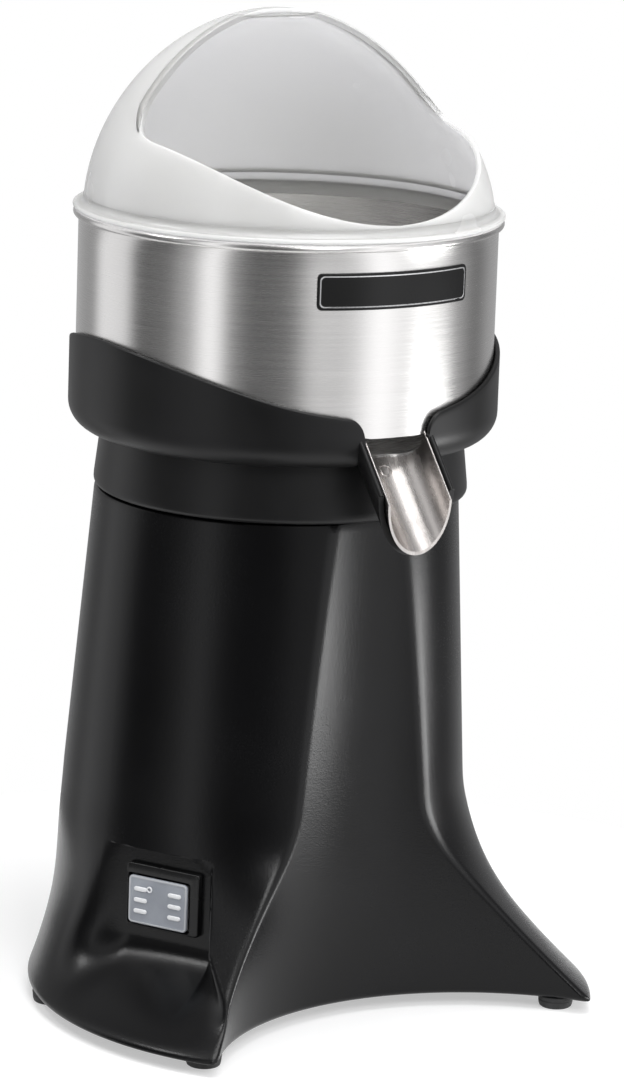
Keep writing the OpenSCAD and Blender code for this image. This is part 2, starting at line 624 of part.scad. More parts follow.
module cord_gland() color([0.05, 0.05, 0.05]) at_inlet() difference() {
    union() {
        translate([0, 0, -gland_depth]) cylinder(r = inlet_r, h = gland_depth);
        translate([0, 0, -1.8]) cylinder(r = gland_flange_r, h = 1.8);
    }
    translate([0, 0, -gland_depth - 1]) cylinder(r = gland_bore_r, h = gland_depth + 2);
}
module gland_nut() color([0.1, 0.1, 0.1]) at_inlet() difference() {
    translate([0, 0, -11]) cylinder(r = 12, h = 4.8, $fn = 6);
    translate([0, 0, -12]) cylinder(r = inlet_r, h = 8);
}

// ---------------------------------------------------------------- bowl
bowl_round = 11;
bead_r = 1.9;            // rolled rim
chimney_r = 15;
chimney_top = 318;
module bowl_section() {
    r0 = bowl_r - bowl_round;
    mid_z = bowl_z + bowl_round;
    inner = bowl_round - sheet;
    polygon(concat(
        [[chimney_r - sheet, bowl_z], [r0, bowl_z]],
        [for (a = [-80:10:0]) [r0 + bowl_round * cos(a), mid_z + bowl_round * sin(a)]],
        [[bowl_r, rim_z - 1], [bowl_r - sheet, rim_z - 1]],
        [for (a = [0:-10:-80]) [r0 + inner * cos(a), mid_z + inner * sin(a)]],
        [[r0, bowl_z + sheet], [chimney_r, bowl_z + sheet + 0.8], [chimney_r, chimney_top],
         [chimney_r - sheet, chimney_top]]));
}
module bowl() color([0.78, 0.77, 0.76]) on_axis() difference() {
    union() {
        rotate_extrude() bowl_section();
        translate([0, 0, rim_z - bead_r]) rotate_extrude()
            translate([bowl_r - sheet + bead_r, 0]) circle(r = bead_r);
    }
    // outlet: the front of the wall and the corner of the floor are open above the spout
    along_spout() translate([0, 0, -40]) linear_extrude(height = 60) intersection() {
        circle(r = spout_r - sheet);
        translate([-spout_r, -2 * spout_r]) square([2 * spout_r, 2 * spout_r]);
    }
    translate([-spout_r + sheet, -bowl_r - 5, spout_line[1] - 4]) cube([2 * (spout_r - sheet), 10, 4]);
}
// Half-round trough from the bowl's wall to a nearly upright end
weld_gap = 0.1;          // the trough starts this far outside the bowl's wall
module spout() color([0.8, 0.8, 0.8]) on_axis() difference() {
    along_spout() half_pipe(spout_r, spout_r - sheet, -26, 60);
    bowl_outline(weld_gap, weld_gap);
    past_end(spout_len);
}
plate_half_angle = 23.8;
nameplate_z = [rim_z - 30, rim_z - 13];
nameplate_t = 0.8;
module nameplate() color([0.02, 0.02, 0.02]) on_axis() rotate([0, 0, -90 - plate_half_angle])
    translate([0, 0, nameplate_z[0]]) rotate_extrude(angle = 2 * plate_half_angle)
        translate([bowl_r, 0]) square([nameplate_t, nameplate_z[1] - nameplate_z[0]]);

// ---------------------------------------------------------------- strainer and reamer
strainer_z = chimney_top + 0.3;
hub_lip_r = chimney_r + 0.6;
module strainer() color([0.78, 0.78, 0.78]) on_axis() difference() {
    rotate_extrude() polygon([
        [9, strainer_z], [hub_lip_r, strainer_z], [hub_lip_r, strainer_z - 9],
        [hub_lip_r + 1, strainer_z - 9],
        [hub_lip_r + 1, strainer_z], [strainer_r - 4, strainer_z - 7], [strainer_r, strainer_z - 4],
        [strainer_r, strainer_z + 7], [strainer_r - 1, strainer_z + 7], [strainer_r - 1, strainer_z - 3.4],
        [strainer_r - 4.4, strainer_z - 5.9], [hub_lip_r + 1, strainer_z + 1.1], [9, strainer_z + 1.1]]);
    around(30, 64, 0) translate([-18, -1.3, strainer_z - 12]) cube([36, 2.6, 20]);
}
reamer_z = strainer_z + 4.4;
// Radius of the reamer's core at a share t of its height, and the height of its ribs there
function core_r(t) = (reamer_r - 5) * pow(1 - pow(t, 1.7), 0.62);
function rib(t) = 5 * pow(1 - t, 0.4);
function reamer_ring(t, n) = [for (i = [0:n - 1]) let (a = i * 360 / n,
    w = pow(abs(cos(a * flutes / 2)), 2.2), r = core_r(t) + rib(t) * w + 0.4) [r * cos(a), r * sin(a)]];
reamer_levels = [0, 0.1, 0.22, 0.34, 0.46, 0.57, 0.67, 0.76, 0.84, 0.9, 0.95, 0.98, 1];
module reamer() color([0.93, 0.93, 0.91]) on_axis() difference() {
    union() {
        translate([0, 0, reamer_z]) cylinder(r = reamer_r + 1.5, h = 3);
        loft([for (t = reamer_levels)
            at_z(reamer_ring(t, 8 * flutes), reamer_z + 2.8 + t * (reamer_h - 2.8))]);
    }
    translate([0, 0, reamer_z - 1]) cylinder(r = 9, h = spindle_top + 4 - reamer_z);
}
module reamer_insert() color([0.7, 0.7, 0.72]) on_axis() difference() {
    translate([0, 0, reamer_z]) cylinder(r = 9, h = spindle_top + 3 - reamer_z);
    difference() {
        translate([0, 0, reamer_z - 1]) cylinder(r = spindle_r + 0.3, h = spindle_top + 2.5 - reamer_z);
        translate([-10, -10 - flat_at - 0.3, reamer_z + 2]) cube([20, 10, 40]);
    }
}

// ---------------------------------------------------------------- splash guard
flange_r = 101.8;
flange_t = 2.2;
flange_z = rim_z + 0.3;
guard_lean = 14;         // how far the top of the guard sits behind the bowl axis
function guard_ring(u, r0, h0, n = 60) =
    let (r = max(0.5, r0 * pow(1 - pow(u, 1.8), 0.55)), c = guard_lean * pow(u * h0 / guard_h, 1.5))
    at_z([for (i = [0:n - 1]) [r * cos(i * 360 / n), c + r * sin(i * 360 / n)]], flange_z + u * h0);
guard_steps = 14;
module guard_solid(r0, h0) loft([
    for (i = [0:guard_steps]) guard_ring(pow(sin(90 * i / guard_steps), 1.1), r0, h0)]);
// Opening seen from the side: a dipping front edge and an upright hood edge
mouth_corner = 39;       // height of the corner above the rim
mouth_dip = 32;
module mouth() {
    reach = 130;
    corner_z = rim_z + mouth_corner;
    rotate([90, 0, 90]) translate([0, 0, -reach]) linear_extrude(height = 2 * reach) polygon(concat(
        [for (y = [-112:8:-16]) [y, corner_z - mouth_dip * pow(y / guard_r, 2)]],
        [[-8, corner_z + 0.2], [-3, corner_z + 2.2], [1, corner_z + 7]],
        [for (z = [14:8:70]) [2.5 + 14 * pow(z / 62, 1.2), corner_z + z]],
        [[-112, corner_z + 70]]));
}
module splash_guard() color([0.95, 0.95, 0.95]) on_axis() {
    difference() {
        union() {
            guard_solid(guard_r, guard_h);
            translate([0, 0, flange_z]) cylinder(r = flange_r, h = flange_t);
        }
        translate([0, 0, -eps]) guard_solid(guard_r - guard_wall, guard_h - guard_wall);
        mouth();
    }
    // locating skirt inside the rim
    ring_solid(bowl_r - sheet - 0.5, bowl_r - sheet - 2.5, rim_z - 6, flange_z + 0.5);
}

housing();
base_plate();
foot_front_left();
foot_front_right();
foot_side_left();
foot_side_right();
foot_rear_left();
foot_rear_right();
foot_screws();
base_screws();
collar();
collar_screws();
drive_tower();
shaft_seal();
motor_shell();
stator_core();
stator_winding();
upper_end_bell();
lower_end_bell();
motor_bolts();
motor_cushions();
upper_bearing_outer();
lower_bearing_outer();
switch_bezel();
switch_body();
capacitor();
capacitor_clamp();
terminal_block();
cord_gland();
gland_nut();
drive_shaft();
rotor_core();
cooling_fan();
fan_clip();
upper_bearing_inner();
lower_bearing_inner();
upper_bearing_balls();
lower_bearing_balls();
bowl();
spout();
nameplate();
strainer();
reamer();
reamer_insert();
splash_guard();
rocker();
switch_boot();
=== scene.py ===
import json
import math

import bmesh
import bpy
import numpy as np
from mathutils import Matrix, Vector


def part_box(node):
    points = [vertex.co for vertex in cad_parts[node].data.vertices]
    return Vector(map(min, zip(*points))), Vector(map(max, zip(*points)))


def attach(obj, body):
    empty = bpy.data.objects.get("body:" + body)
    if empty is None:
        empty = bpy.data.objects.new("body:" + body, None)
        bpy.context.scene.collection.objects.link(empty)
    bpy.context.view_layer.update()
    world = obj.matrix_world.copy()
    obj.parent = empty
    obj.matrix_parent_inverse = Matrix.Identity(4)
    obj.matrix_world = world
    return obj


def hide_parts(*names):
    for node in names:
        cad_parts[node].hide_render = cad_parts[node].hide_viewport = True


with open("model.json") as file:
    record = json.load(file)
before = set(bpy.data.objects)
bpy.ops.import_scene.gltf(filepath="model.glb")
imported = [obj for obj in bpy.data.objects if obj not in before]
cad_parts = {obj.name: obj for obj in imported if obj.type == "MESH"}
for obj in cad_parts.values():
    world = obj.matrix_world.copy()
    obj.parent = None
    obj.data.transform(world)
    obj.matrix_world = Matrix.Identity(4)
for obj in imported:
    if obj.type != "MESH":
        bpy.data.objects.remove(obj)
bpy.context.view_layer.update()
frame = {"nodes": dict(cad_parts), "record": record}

MM = 0.001
NODES = frame["nodes"]


def box_mm(node):
    """Lowest and highest corner of a CAD node, in millimetres."""
    low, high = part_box(node)
    return np.array(low) / MM, np.array(high) / MM


BOWL_LOW, BOWL_HIGH = box_mm("bowl")
COLLAR_LOW, COLLAR_HIGH = box_mm("collar")
HOUSING_LOW, HOUSING_HIGH = box_mm("housing")
AXIS_Y = (BOWL_LOW[1] + BOWL_HIGH[1]) / 2  # the bowl and shaft axis
BOWL_Z, RIM_Z = BOWL_LOW[2], BOWL_HIGH[2]
COLLAR_TOP = COLLAR_HIGH[2]
GUARD_TOP = box_mm("splash_guard")[1][2]
DECK_Z = COLLAR_LOW[2] - 1  # the pedestal's top face, just under the collar
SKIRT_Z = HOUSING_LOW[2]


# ---------- mesh tools
def new_object(name, verts, faces, sharp=32):
    """A mesh object from points in mm round the bowl axis, smooth except across sharp edges."""
    verts = np.asarray(verts, float).reshape(-1, 3)
    mesh = bpy.data.meshes.new(name)
    placed = (verts + [0, AXIS_Y, 0]) * MM
    mesh.from_pydata(placed.tolist(), [], [list(f) for f in faces])
    mesh.validate()
    obj = bpy.data.objects.new(name, mesh)
    bpy.context.scene.collection.objects.link(obj)
    shade(obj, sharp)
    return obj


def shade(obj, sharp=32):
    """Smooth shading, except across edges of more than `sharp` degrees."""
    mesh = obj.data
    mesh.polygons.foreach_set("use_smooth", [True] * len(mesh.polygons))
    mesh.set_sharp_from_angle(angle=math.radians(sharp))
    mesh.update()


def grid_faces(rows, cols, wrap_rows=False, wrap_cols=False):
    """Faces between rows of points, each row `cols` long."""
    faces = []
    for i in range(rows if wrap_rows else rows - 1):
        here, there = i * cols, (i + 1) % rows * cols
        for j in range(cols if wrap_cols else cols - 1):
            beside = (j + 1) % cols
            faces.append([here + j, here + beside, there + beside, there + j])
    return faces


def ring_face(row, cols):
    """The face that closes off one row of points."""
    return [row * cols + k for k in range(cols)]


def solid_faces(rows):
    """Faces of a solid whose skin runs through rows of points, closed at both ends."""
    count, cols = len(rows), len(rows[0])
    return grid_faces(count, cols, False, True) + [ring_face(0, cols)[::-1], ring_face(count - 1, cols)]


def revolve(profile, cols=192, start=0.0):
    """Points and faces of a closed profile [(radius, z), ...] turned round the axis."""
    turn = start + np.arange(cols) * 2 * np.pi / cols
    profile = np.asarray(profile, float)
    verts = np.empty((len(profile), cols, 3))
    verts[:, :, 0] = profile[:, :1] * np.cos(turn)
    verts[:, :, 1] = profile[:, :1] * np.sin(turn)
    verts[:, :, 2] = profile[:, 1:2]
    return verts.reshape(-1, 3), grid_faces(len(profile), cols, True, True)


def arc(cx, cz, r, a0, a1, n):
    """Points of an arc, angles in degrees."""
    a = np.radians(np.linspace(a0, a1, n))
    return np.stack([cx + r * np.cos(a), cz + r * np.sin(a)], 1).tolist()


def applied(obj):
    """Replaces an object's mesh by the result of its modifiers."""
    bpy.context.view_layer.update()
    result = bpy.data.meshes.new_from_object(obj.evaluated_get(bpy.context.evaluated_depsgraph_get()))
    obj.modifiers.clear()
    obj.data = result
    return obj


def carve(obj, cutter, sharp=32):
    """Cuts one object out of another and removes the cutter."""
    cut = obj.modifiers.new("cut", "BOOLEAN")
    cut.operation, cut.solver, cut.object = "DIFFERENCE", "EXACT", cutter
    applied(obj)
    bpy.data.objects.remove(cutter)
    shade(obj, sharp)
    return obj


def joined(name, parts, sharp=32):
    """One object from several pairs of points and faces."""
    verts, faces = [], []
    for points, quads in parts:
        offset = len(verts)
        verts.extend(np.asarray(points).reshape(-1, 3).tolist())
        faces.extend([[k + offset for k in f] for f in quads])
    return new_object(name, verts, faces, sharp)


def tube(name, path, radius, around=8):
    """A thin round rod along a closed loop of points."""
    path = np.asarray(path, float)
    run = np.roll(path, -1, 0) - np.roll(path, 1, 0)
    run /= np.linalg.norm(run, axis=1)[:, None]
    side = np.cross(run, [0.31, 0.11, 0.94])
    side /= np.linalg.norm(side, axis=1)[:, None]
    other = np.cross(run, side)
    turn = np.arange(around)[:, None] * 2 * np.pi / around
    rings = path[:, None] + radius * (side[:, None] * np.cos(turn) + other[:, None] * np.sin(turn))
    return new_object(name, rings, grid_faces(len(path), around, True, True), 60)


def piece(obj, body, material, slot, *nodes):
    """Finishes a closed mesh: faces outwards, rides on its body and stands for the CAD nodes."""
    work = bmesh.new()
    work.from_mesh(obj.data)
    bmesh.ops.recalc_face_normals(work, faces=work.faces)
    work.to_mesh(obj.data)
    work.free()
    obj.data.materials.clear()
    obj.data.materials.append(material)
    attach(obj, body)
    if nodes:
        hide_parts(*nodes)
    return obj


# ---------- materials
class NodeTree:
    """Adds and links the nodes of a material or of the world."""

    def __init__(self, tree):
        self.tree = tree

    def node(self, kind, **values):
        """A new node, with its sockets or its own settings given by name."""
        made = self.tree.nodes.new(kind)
        for key, value in values.items():
            if key in made.inputs:
                made.inputs[key].default_value = value
            else:
                setattr(made, key, value)
        return made

    def link(self, out, into):
        self.tree.links.new(out, into)

    def math(self, operation, a, b=None):
        """Result of a sum whose terms are numbers or sockets."""
        made = self.node("ShaderNodeMath", operation=operation)
        for socket, value in zip(made.inputs, (a, b)):
            if isinstance(value, (int, float)):
                socket.default_value = value
            elif value is not None:
                self.link(value, socket)
        return made.outputs[0]

    def ranged(self, value, low, high, start=0.3, end=0.7):
        """Maps the range from start to end onto the range from low to high."""
        limits = {"From Min": start, "From Max": end, "To Min": low, "To Max": high}
        made = self.node("ShaderNodeMapRange", **limits)
        self.link(value, made.inputs["Value"])
        return made.outputs["Result"]


class Shader(NodeTree):
    """A node material with a few shortcuts."""

    def __init__(self, name, colour, roughness, metallic=0.0, **sockets):
        self.material = bpy.data.materials.new(name)
        self.material.use_nodes = True
        super().__init__(self.material.node_tree)
        self.bsdf = self.tree.nodes["Principled BSDF"]
        sockets.update(Base_Color=(*colour, 1), Roughness=roughness, Metallic=metallic)
        for key, value in sockets.items():
            self.bsdf.inputs[key.replace("_", " ")].default_value = value
        self.coords = self.node("ShaderNodeTexCoord").outputs["Object"]
        self.height = None

    def stretched(self, scale):
        """Object coordinates scaled differently along each axis."""
        mapping = self.node("ShaderNodeMapping", Scale=scale)
        self.link(self.coords, mapping.inputs["Vector"])
        return mapping.outputs["Vector"]

    def around(self, turn_scale, up_scale, out_scale=1.0):
        """Coordinates that run round the bowl axis, up, and outwards."""
        move = self.node("ShaderNodeVectorMath", operation="SUBTRACT")
        move.inputs[1].default_value = (0, AXIS_Y * MM, 0)
        self.link(self.coords, move.inputs[0])
        split = self.node("ShaderNodeSeparateXYZ")
        self.link(move.outputs[0], split.inputs[0])
        x, y, z = split.outputs
        square = self.math("ADD", self.math("MULTIPLY", x, x), self.math("MULTIPLY", y, y))
        radius = self.math("SQRT", square)
        join = self.node("ShaderNodeCombineXYZ")
        for socket, value, scale in zip(join.inputs, (self.math("ARCTAN2", y, x), z, radius),
                                        (turn_scale, up_scale, out_scale)):
            self.link(self.math("MULTIPLY", value, scale), socket)
        return join.outputs[0]

    def noise(self, scale, detail=3.0, vector=None, roughness=0.5):
        made = self.node("ShaderNodeTexNoise", Scale=scale, Detail=detail, Roughness=roughness)
        self.link(vector or self.coords, made.inputs["Vector"])
        return made.outputs["Fac"]

    def cells(self, scale):
        made = self.node("ShaderNodeTexVoronoi", Scale=scale)
        self.link(self.coords, made.inputs["Vector"])
        return made.outputs["Distance"]

    def tint(self, value, dark, light, start=0.3, end=0.7):
        """Colours the base between two tones."""
        ramp = self.node("ShaderNodeValToRGB")
        for element, place, tone in zip(ramp.color_ramp.elements, (start, end), (dark, light)):
            element.position, element.color = place, (*tone, 1)
        self.link(value, ramp.inputs["Fac"])
        self.link(ramp.outputs["Color"], self.bsdf.inputs["Base Color"])
        return ramp.outputs["Color"]

    def rough(self, value, low, high, start=0.3, end=0.7):
        self.link(self.ranged(value, low, high, start, end), self.bsdf.inputs["Roughness"])

    def bump(self, value, strength, distance):
        """Adds a bump on top of those given before."""
        made = self.node("ShaderNodeBump", Strength=strength, Distance=distance)
        self.link(value, made.inputs["Height"])
        if self.height is not None:
            self.link(self.height, made.inputs["Normal"])
        self.height = made.outputs["Normal"]
        self.link(self.height, self.bsdf.inputs["Normal"])

    def painted_edge_highlight(self, value, highlight_colour, base_output, strength):
        """Painted highlight: lightens the colour of convex edges, broken up by `value`."""
        pointed = self.node("ShaderNodeNewGeometry").outputs["Pointiness"]
        edge = self.ranged(pointed, 0.0, strength, 0.53, 0.62)
        mix = self.node("ShaderNodeMix", data_type="RGBA")
        mix.inputs["B"].default_value = (*highlight_colour, 1)
        self.link(self.math("MULTIPLY", edge, value), mix.inputs["Factor"])
        self.link(base_output, mix.inputs["A"])
        self.link(mix.outputs["Result"], self.bsdf.inputs["Base Color"])


def scaled(tone, factor):
    """A tone made darker or lighter."""
    return tuple(min(1.0, factor * c) for c in tone)


def powder_coat():
    s = Shader("powder_coat", (0.004, 0.004, 0.0045), 0.32, Specular_IOR_Level=0.24)
    cloud = s.noise(14, 3)
    grain = s.noise(1300, 2)
    base = s.tint(cloud, (0.0014, 0.0014, 0.0016), (0.0032, 0.0032, 0.0037))
    # painted highlight: the coat's colour is lightened along convex edges and speckled by the grain
    s.painted_edge_highlight(grain, (0.035, 0.035, 0.037), base, 0.4)
    both = s.math("ADD", s.math("MULTIPLY", cloud, 0.5), s.math("MULTIPLY", grain, 0.5))
    s.rough(both, 0.2, 0.29)
    s.bump(grain, 0.22, 0.0003)
    s.bump(s.noise(420, 2), 0.05, 0.0004)
    return s.material


def moulded_black(name, tone=0.006, rough=0.38, grain_size=2200):
    s = Shader(name, (tone, tone, tone * 1.08), rough, Specular_IOR_Level=0.3)
    cloud = s.noise(20, 3)
    s.tint(cloud, (tone * 0.8,) * 3, (tone * 1.25, tone * 1.25, tone * 1.35))
    s.rough(cloud, rough - 0.05, rough + 0.07)
    s.bump(s.cells(grain_size), 0.1, 0.00012)
    s.bump(s.noise(60, 2), 0.05, 0.0006)
    return s.material


def brushed_steel(name, tone=(0.74, 0.73, 0.72), rough=0.26, anisotropic=0.75, fine=9000):
    s = Shader(name, tone, rough, 1.0, Anisotropic=anisotropic, Anisotropic_Rotation=0.25)
    tangent = s.node("ShaderNodeTangent", direction_type="RADIAL", axis="Z")
    s.link(tangent.outputs[0], s.bsdf.inputs["Tangent"])
    streaks = s.noise(1.0, 4, s.around(3.0, fine, 2000), 0.6)
    broad = s.noise(1.0, 3, s.around(1.4, 700, 300), 0.6)
    both = s.math("ADD", s.math("MULTIPLY", streaks, 0.6), s.math("MULTIPLY", broad, 0.4))
    s.tint(both, scaled(tone, 0.95), scaled(tone, 1.03))
    s.rough(both, rough - 0.03, rough + 0.04)
    s.bump(streaks, 0.03, 0.00004)
    s.bump(s.noise(9, 2), 0.03, 0.002)
    return s.material


def polished_steel():
    s = Shader("spout_steel", (0.5, 0.475, 0.46), 0.26, 1.0)
    wipe = s.noise(1.0, 4, s.stretched((500, 60, 60)), 0.6)
    s.tint(wipe, (0.46, 0.435, 0.42), (0.53, 0.505, 0.49))
    s.rough(wipe, 0.23, 0.3)
    s.bump(s.noise(60, 2), 0.12, 0.0014)
    s.bump(wipe, 0.05, 0.0001)
    return s.material


def plain_metal(name, tone, rough=0.35, grain=(1200, 1200, 1200)):
    s = Shader(name, tone, rough, 1.0)
    marks = s.noise(1.0, 4, s.stretched(grain), 0.6)
    s.tint(marks, scaled(tone, 0.82), scaled(tone, 1.1))
    s.rough(marks, rough - 0.08, rough + 0.1)
    s.bump(marks, 0.1, 0.00015)
    return s.material


def white_plastic(name, tone=(0.91, 0.91, 0.92), rough=0.26, glow=1.0):
    s = Shader(name, tone, rough, Subsurface_Weight=glow, Subsurface_Radius=(0.02, 0.02, 0.021),
               Subsurface_Scale=1.0, Coat_Weight=0.1, Coat_Roughness=0.15)
    s.tint(s.noise(12, 3), scaled(tone, 0.975), tone)
    s.rough(s.noise(30, 2), rough - 0.015, rough + 0.015)
    s.bump(s.noise(900, 1), 0.006, 0.00005)
    return s.material


def soft_cover():
    s = Shader("boot_rubber", (0.42, 0.45, 0.5), 0.33, Subsurface_Weight=0.2,
               Subsurface_Radius=(0.003, 0.003, 0.0035), Subsurface_Scale=1.0)
    s.tint(s.noise(60, 3), (0.27, 0.29, 0.33), (0.36, 0.385, 0.43))
    s.rough(s.noise(300, 2), 0.28, 0.42)
    s.bump(s.noise(1800, 2), 0.06, 0.0001)
    return s.material


def rubber():
    s = Shader("foot_rubber", (0.018, 0.018, 0.018), 0.72)
    s.tint(s.noise(120, 3), (0.012, 0.012, 0.012), (0.03, 0.03, 0.031))
    s.rough(s.noise(500, 2), 0.62, 0.82)
    s.bump(s.noise(1400, 2), 0.25, 0.0003)
    return s.material


def plain_plastic(name, tone, rough=0.45):
    s = Shader(name, tone, rough)
    s.tint(s.noise(40, 3), scaled(tone, 0.85), scaled(tone, 1.1))
    s.rough(s.noise(300, 2), rough - 0.07, rough + 0.08)
    s.bump(s.cells(1800), 0.08, 0.00015)
    return s.material


def silver_print():
    s = Shader("silver_print", (0.75, 0.75, 0.76), 0.3, 1.0)
    s.tint(s.noise(900, 2), (0.66, 0.66, 0.67), (0.82, 0.82, 0.83))
    s.rough(s.noise(700, 2), 0.24, 0.38)
    s.bump(s.noise(2500, 1), 0.05, 0.00004)
    return s.material


COAT = powder_coat()
COLLAR_BLACK = moulded_black("collar_moulding")
BEZEL_BLACK = moulded_black("bezel_plastic", 0.005, 0.26, 2600)
PLATE_BLACK = moulded_black("nameplate_enamel", 0.003, 0.22, 3000)
BRUSHED = brushed_steel("bowl_steel")
POLISHED = polished_steel()
WHITE = white_plastic("guard_plastic")
REAMER_WHITE = white_plastic("reamer_plastic", (0.84, 0.84, 0.81), 0.28, 0.1)
COVER = soft_cover()
BAR_WHITE = white_plastic("switch_marks", (0.85, 0.86, 0.88), 0.3, 0.0)
COVER_EDGE = white_plastic("cover_edge", (0.5, 0.515, 0.54), 0.3, 0.1)
SILVER = silver_print()
RUBBER = rubber()

SLOT_MATERIAL = {
    "powder_coat": COAT,
    "foot_rubber": RUBBER,
    "cushion_rubber": RUBBER,
    "collar_moulding": COLLAR_BLACK,
    "bezel_plastic": BEZEL_BLACK,
    "bowl_steel": BRUSHED,
    "spout_steel": POLISHED,
    "nameplate_enamel": PLATE_BLACK,
    "strainer_steel": brushed_steel("strainer_steel", (0.7, 0.69, 0.68), 0.24, 0.5, 2000),
    "reamer_plastic": REAMER_WHITE,
    "guard_plastic": WHITE,
    "boot_rubber": COVER,
}
METALS = {  # tone, roughness and grain
    "plated_steel": ((0.62, 0.62, 0.6), 0.33),
    "tower_casting": ((0.72, 0.72, 0.73), 0.34, (300, 300, 4000)),
    "core_steel": ((0.33, 0.33, 0.34), 0.42, (200, 200, 2500)),
    "winding_copper": ((0.7, 0.3, 0.12), 0.32, (700, 700, 3500)),
    "bell_casting": ((0.55, 0.55, 0.56), 0.48, (700, 700, 700)),
    "bearing_steel": ((0.78, 0.78, 0.8), 0.16, (400, 400, 3000)),
    "can_aluminium": ((0.74, 0.74, 0.75), 0.28, (2500, 300, 2500)),
    "shaft_steel": ((0.72, 0.72, 0.73), 0.22, (300, 300, 5000)),
    "rotor_steel": ((0.42, 0.42, 0.43), 0.38, (200, 200, 2500)),
    "insert_metal": ((0.62, 0.62, 0.63), 0.3, (2500, 2500, 400)),
}
PLASTICS = {  # tone and roughness
    "seal_rubber": ((0.12, 0.035, 0.025), 0.55),
    "motor_paint": ((0.13, 0.135, 0.145), 0.4),
    "terminal_plastic": ((0.72, 0.69, 0.6), 0.4),
    "rocker_plastic": ((0.45, 0.45, 0.46), 0.4),
}
BLACKS = {  # tone, roughness and grain
    "base_sheet": (0.03, 0.45, 900),
    "switch_plastic": (0.02, 0.45),
    "gland_plastic": (0.016, 0.42, 1500),
    "fan_plastic": (0.022, 0.45),
}
for make, looks in ((plain_metal, METALS), (plain_plastic, PLASTICS), (moulded_black, BLACKS)):
    for slot_name, values in looks.items():
        SLOT_MATERIAL[slot_name] = make(slot_name, *values)
for part in frame["record"]["subparts"]:
    mesh = NODES[part["node"]].data
    mesh.materials.clear()
    mesh.materials.append(SLOT_MATERIAL[part["material_slot"]])


# ---------- pedestal
# the outline's mean radius, its shift to the front and its stretch from front to back; a flare is
# (amount, height where it starts, how far down it runs)
TOP_R, R_TAPER, R_FLARE = 86.9, 0.069, (120, 102, 275)
TOP_SHIFT, SHIFT_TAPER, SHIFT_FLARE = -3.2, -0.027, (102, 106, 208)
STRETCH_FLARE = (7, 88, 53)
SCOOP_R = 127.0  # the hollow front: a large cylinder that leans back a little
SCOOP_FRONT = 76.5
SCOOP_LEAN = 3.5 / DECK_Z
WALL = 3.5
DECK_T = 5.0
DECK_HOLE_R = 33.0
EDGE_ROUND = 4.0  # rounding of the edge between the outline and the hollow
FOOT_ROUND = 3.0
SWITCH_TURN = 63.0  # the way the switch faces, from the front towards -X
SWITCH_Z = 57.7
SWITCH_OUT = np.array([-math.sin(math.radians(SWITCH_TURN)), -math.cos(math.radians(SWITCH_TURN))])
SWITCH_FORE = np.array([-SWITCH_OUT[1], SWITCH_OUT[0]])
POCKET_FLOOR = 94.5  # its distance from the axis
POCKET_FRONT, POCKET_TOP = 27.0, 24.0  # where the pocket's floor ends, from the switch's middle
FRONT_RISE, TOP_RISE = 1.667, 7.1  # how steeply its walls rise from there
INLET_Z = 40.0
GLAND_FLAT_R, GLAND_FLAT_Y = 11.5, 104.6  # the flat round the cord gland


def flare(z, amount, top, length):
    return amount * ((1 - np.cos(np.pi * np.clip((top - z) / length, 0, 1))) / 2)


def outline_r(z, turn):
    """Radius of the pedestal at height z and angle `turn` (radians) from the front."""
    mean = TOP_R + R_TAPER * (DECK_Z - z) + flare(z, *R_FLARE)
    shift = TOP_SHIFT + SHIFT_TAPER * (DECK_Z - z) + flare(z, *SHIFT_FLARE)
    return mean + shift * np.cos(turn) + flare(z, *STRETCH_FLARE) * np.cos(2 * turn)


def outer_point(z, turn, inset):
    r = outline_r(z, turn) - inset
    return np.stack([-r * np.sin(turn), -r * np.cos(turn)], -1)


def scoop_centre(z):
    return SCOOP_FRONT + SCOOP_LEAN * z + SCOOP_R


def scoop_point(z, angle, inset):
    r = SCOOP_R + inset
    return np.stack([-r * np.sin(angle), r * np.cos(angle) - scoop_centre(z)], -1)


def to_switch(points):
    """Place of points seen from the switch: towards the front, out from the pocket's floor, and up."""
    flat = points[..., :2]
    return flat @ SWITCH_FORE, flat @ SWITCH_OUT - POCKET_FLOOR, points[..., 2] - SWITCH_Z


def from_switch(side, out, up):
    flat = SWITCH_FORE * side + SWITCH_OUT * (POCKET_FLOOR + out)
    return [flat[0], flat[1], SWITCH_Z + up]


def edge_turn(z, inset):
    """Angle at which the outline meets the hollow, found by halving."""
    low, high = np.zeros_like(z), np.full_like(z, math.radians(80))
    for _ in range(40):
        middle = (low + high) / 2
        p = outer_point(z, middle, inset)
        inside = np.hypot(p[:, 0], p[:, 1] + scoop_centre(z)) < SCOOP_R + inset
        low, high = np.where(inside, middle, low), np.where(inside, high, middle)
    return (low + high) / 2


def turn_at(z, side, about, inset):
    """Angle of the outline point that lies `side` mm off the direction `about`."""
    turn = np.full_like(z, about)
    for _ in range(8):
        turn = about + np.arcsin(np.clip(side / (outline_r(z, turn) - inset), -1, 1))
    return turn


# distances of the fine columns from the switch's middle, towards the rear, and from the middle of the back
POCKET_COLUMNS = np.concatenate([np.arange(a, b, step) for a, b, step in (
    (-40, -29, 0.8), (-29, -25, 0.4), (-25, 17, 1.5), (17, 21, 0.5), (21, 36, 1.0))])
REAR_SIDE = 14.0
REAR_COLUMNS = np.arange(REAR_SIDE, 0.4, -0.9)


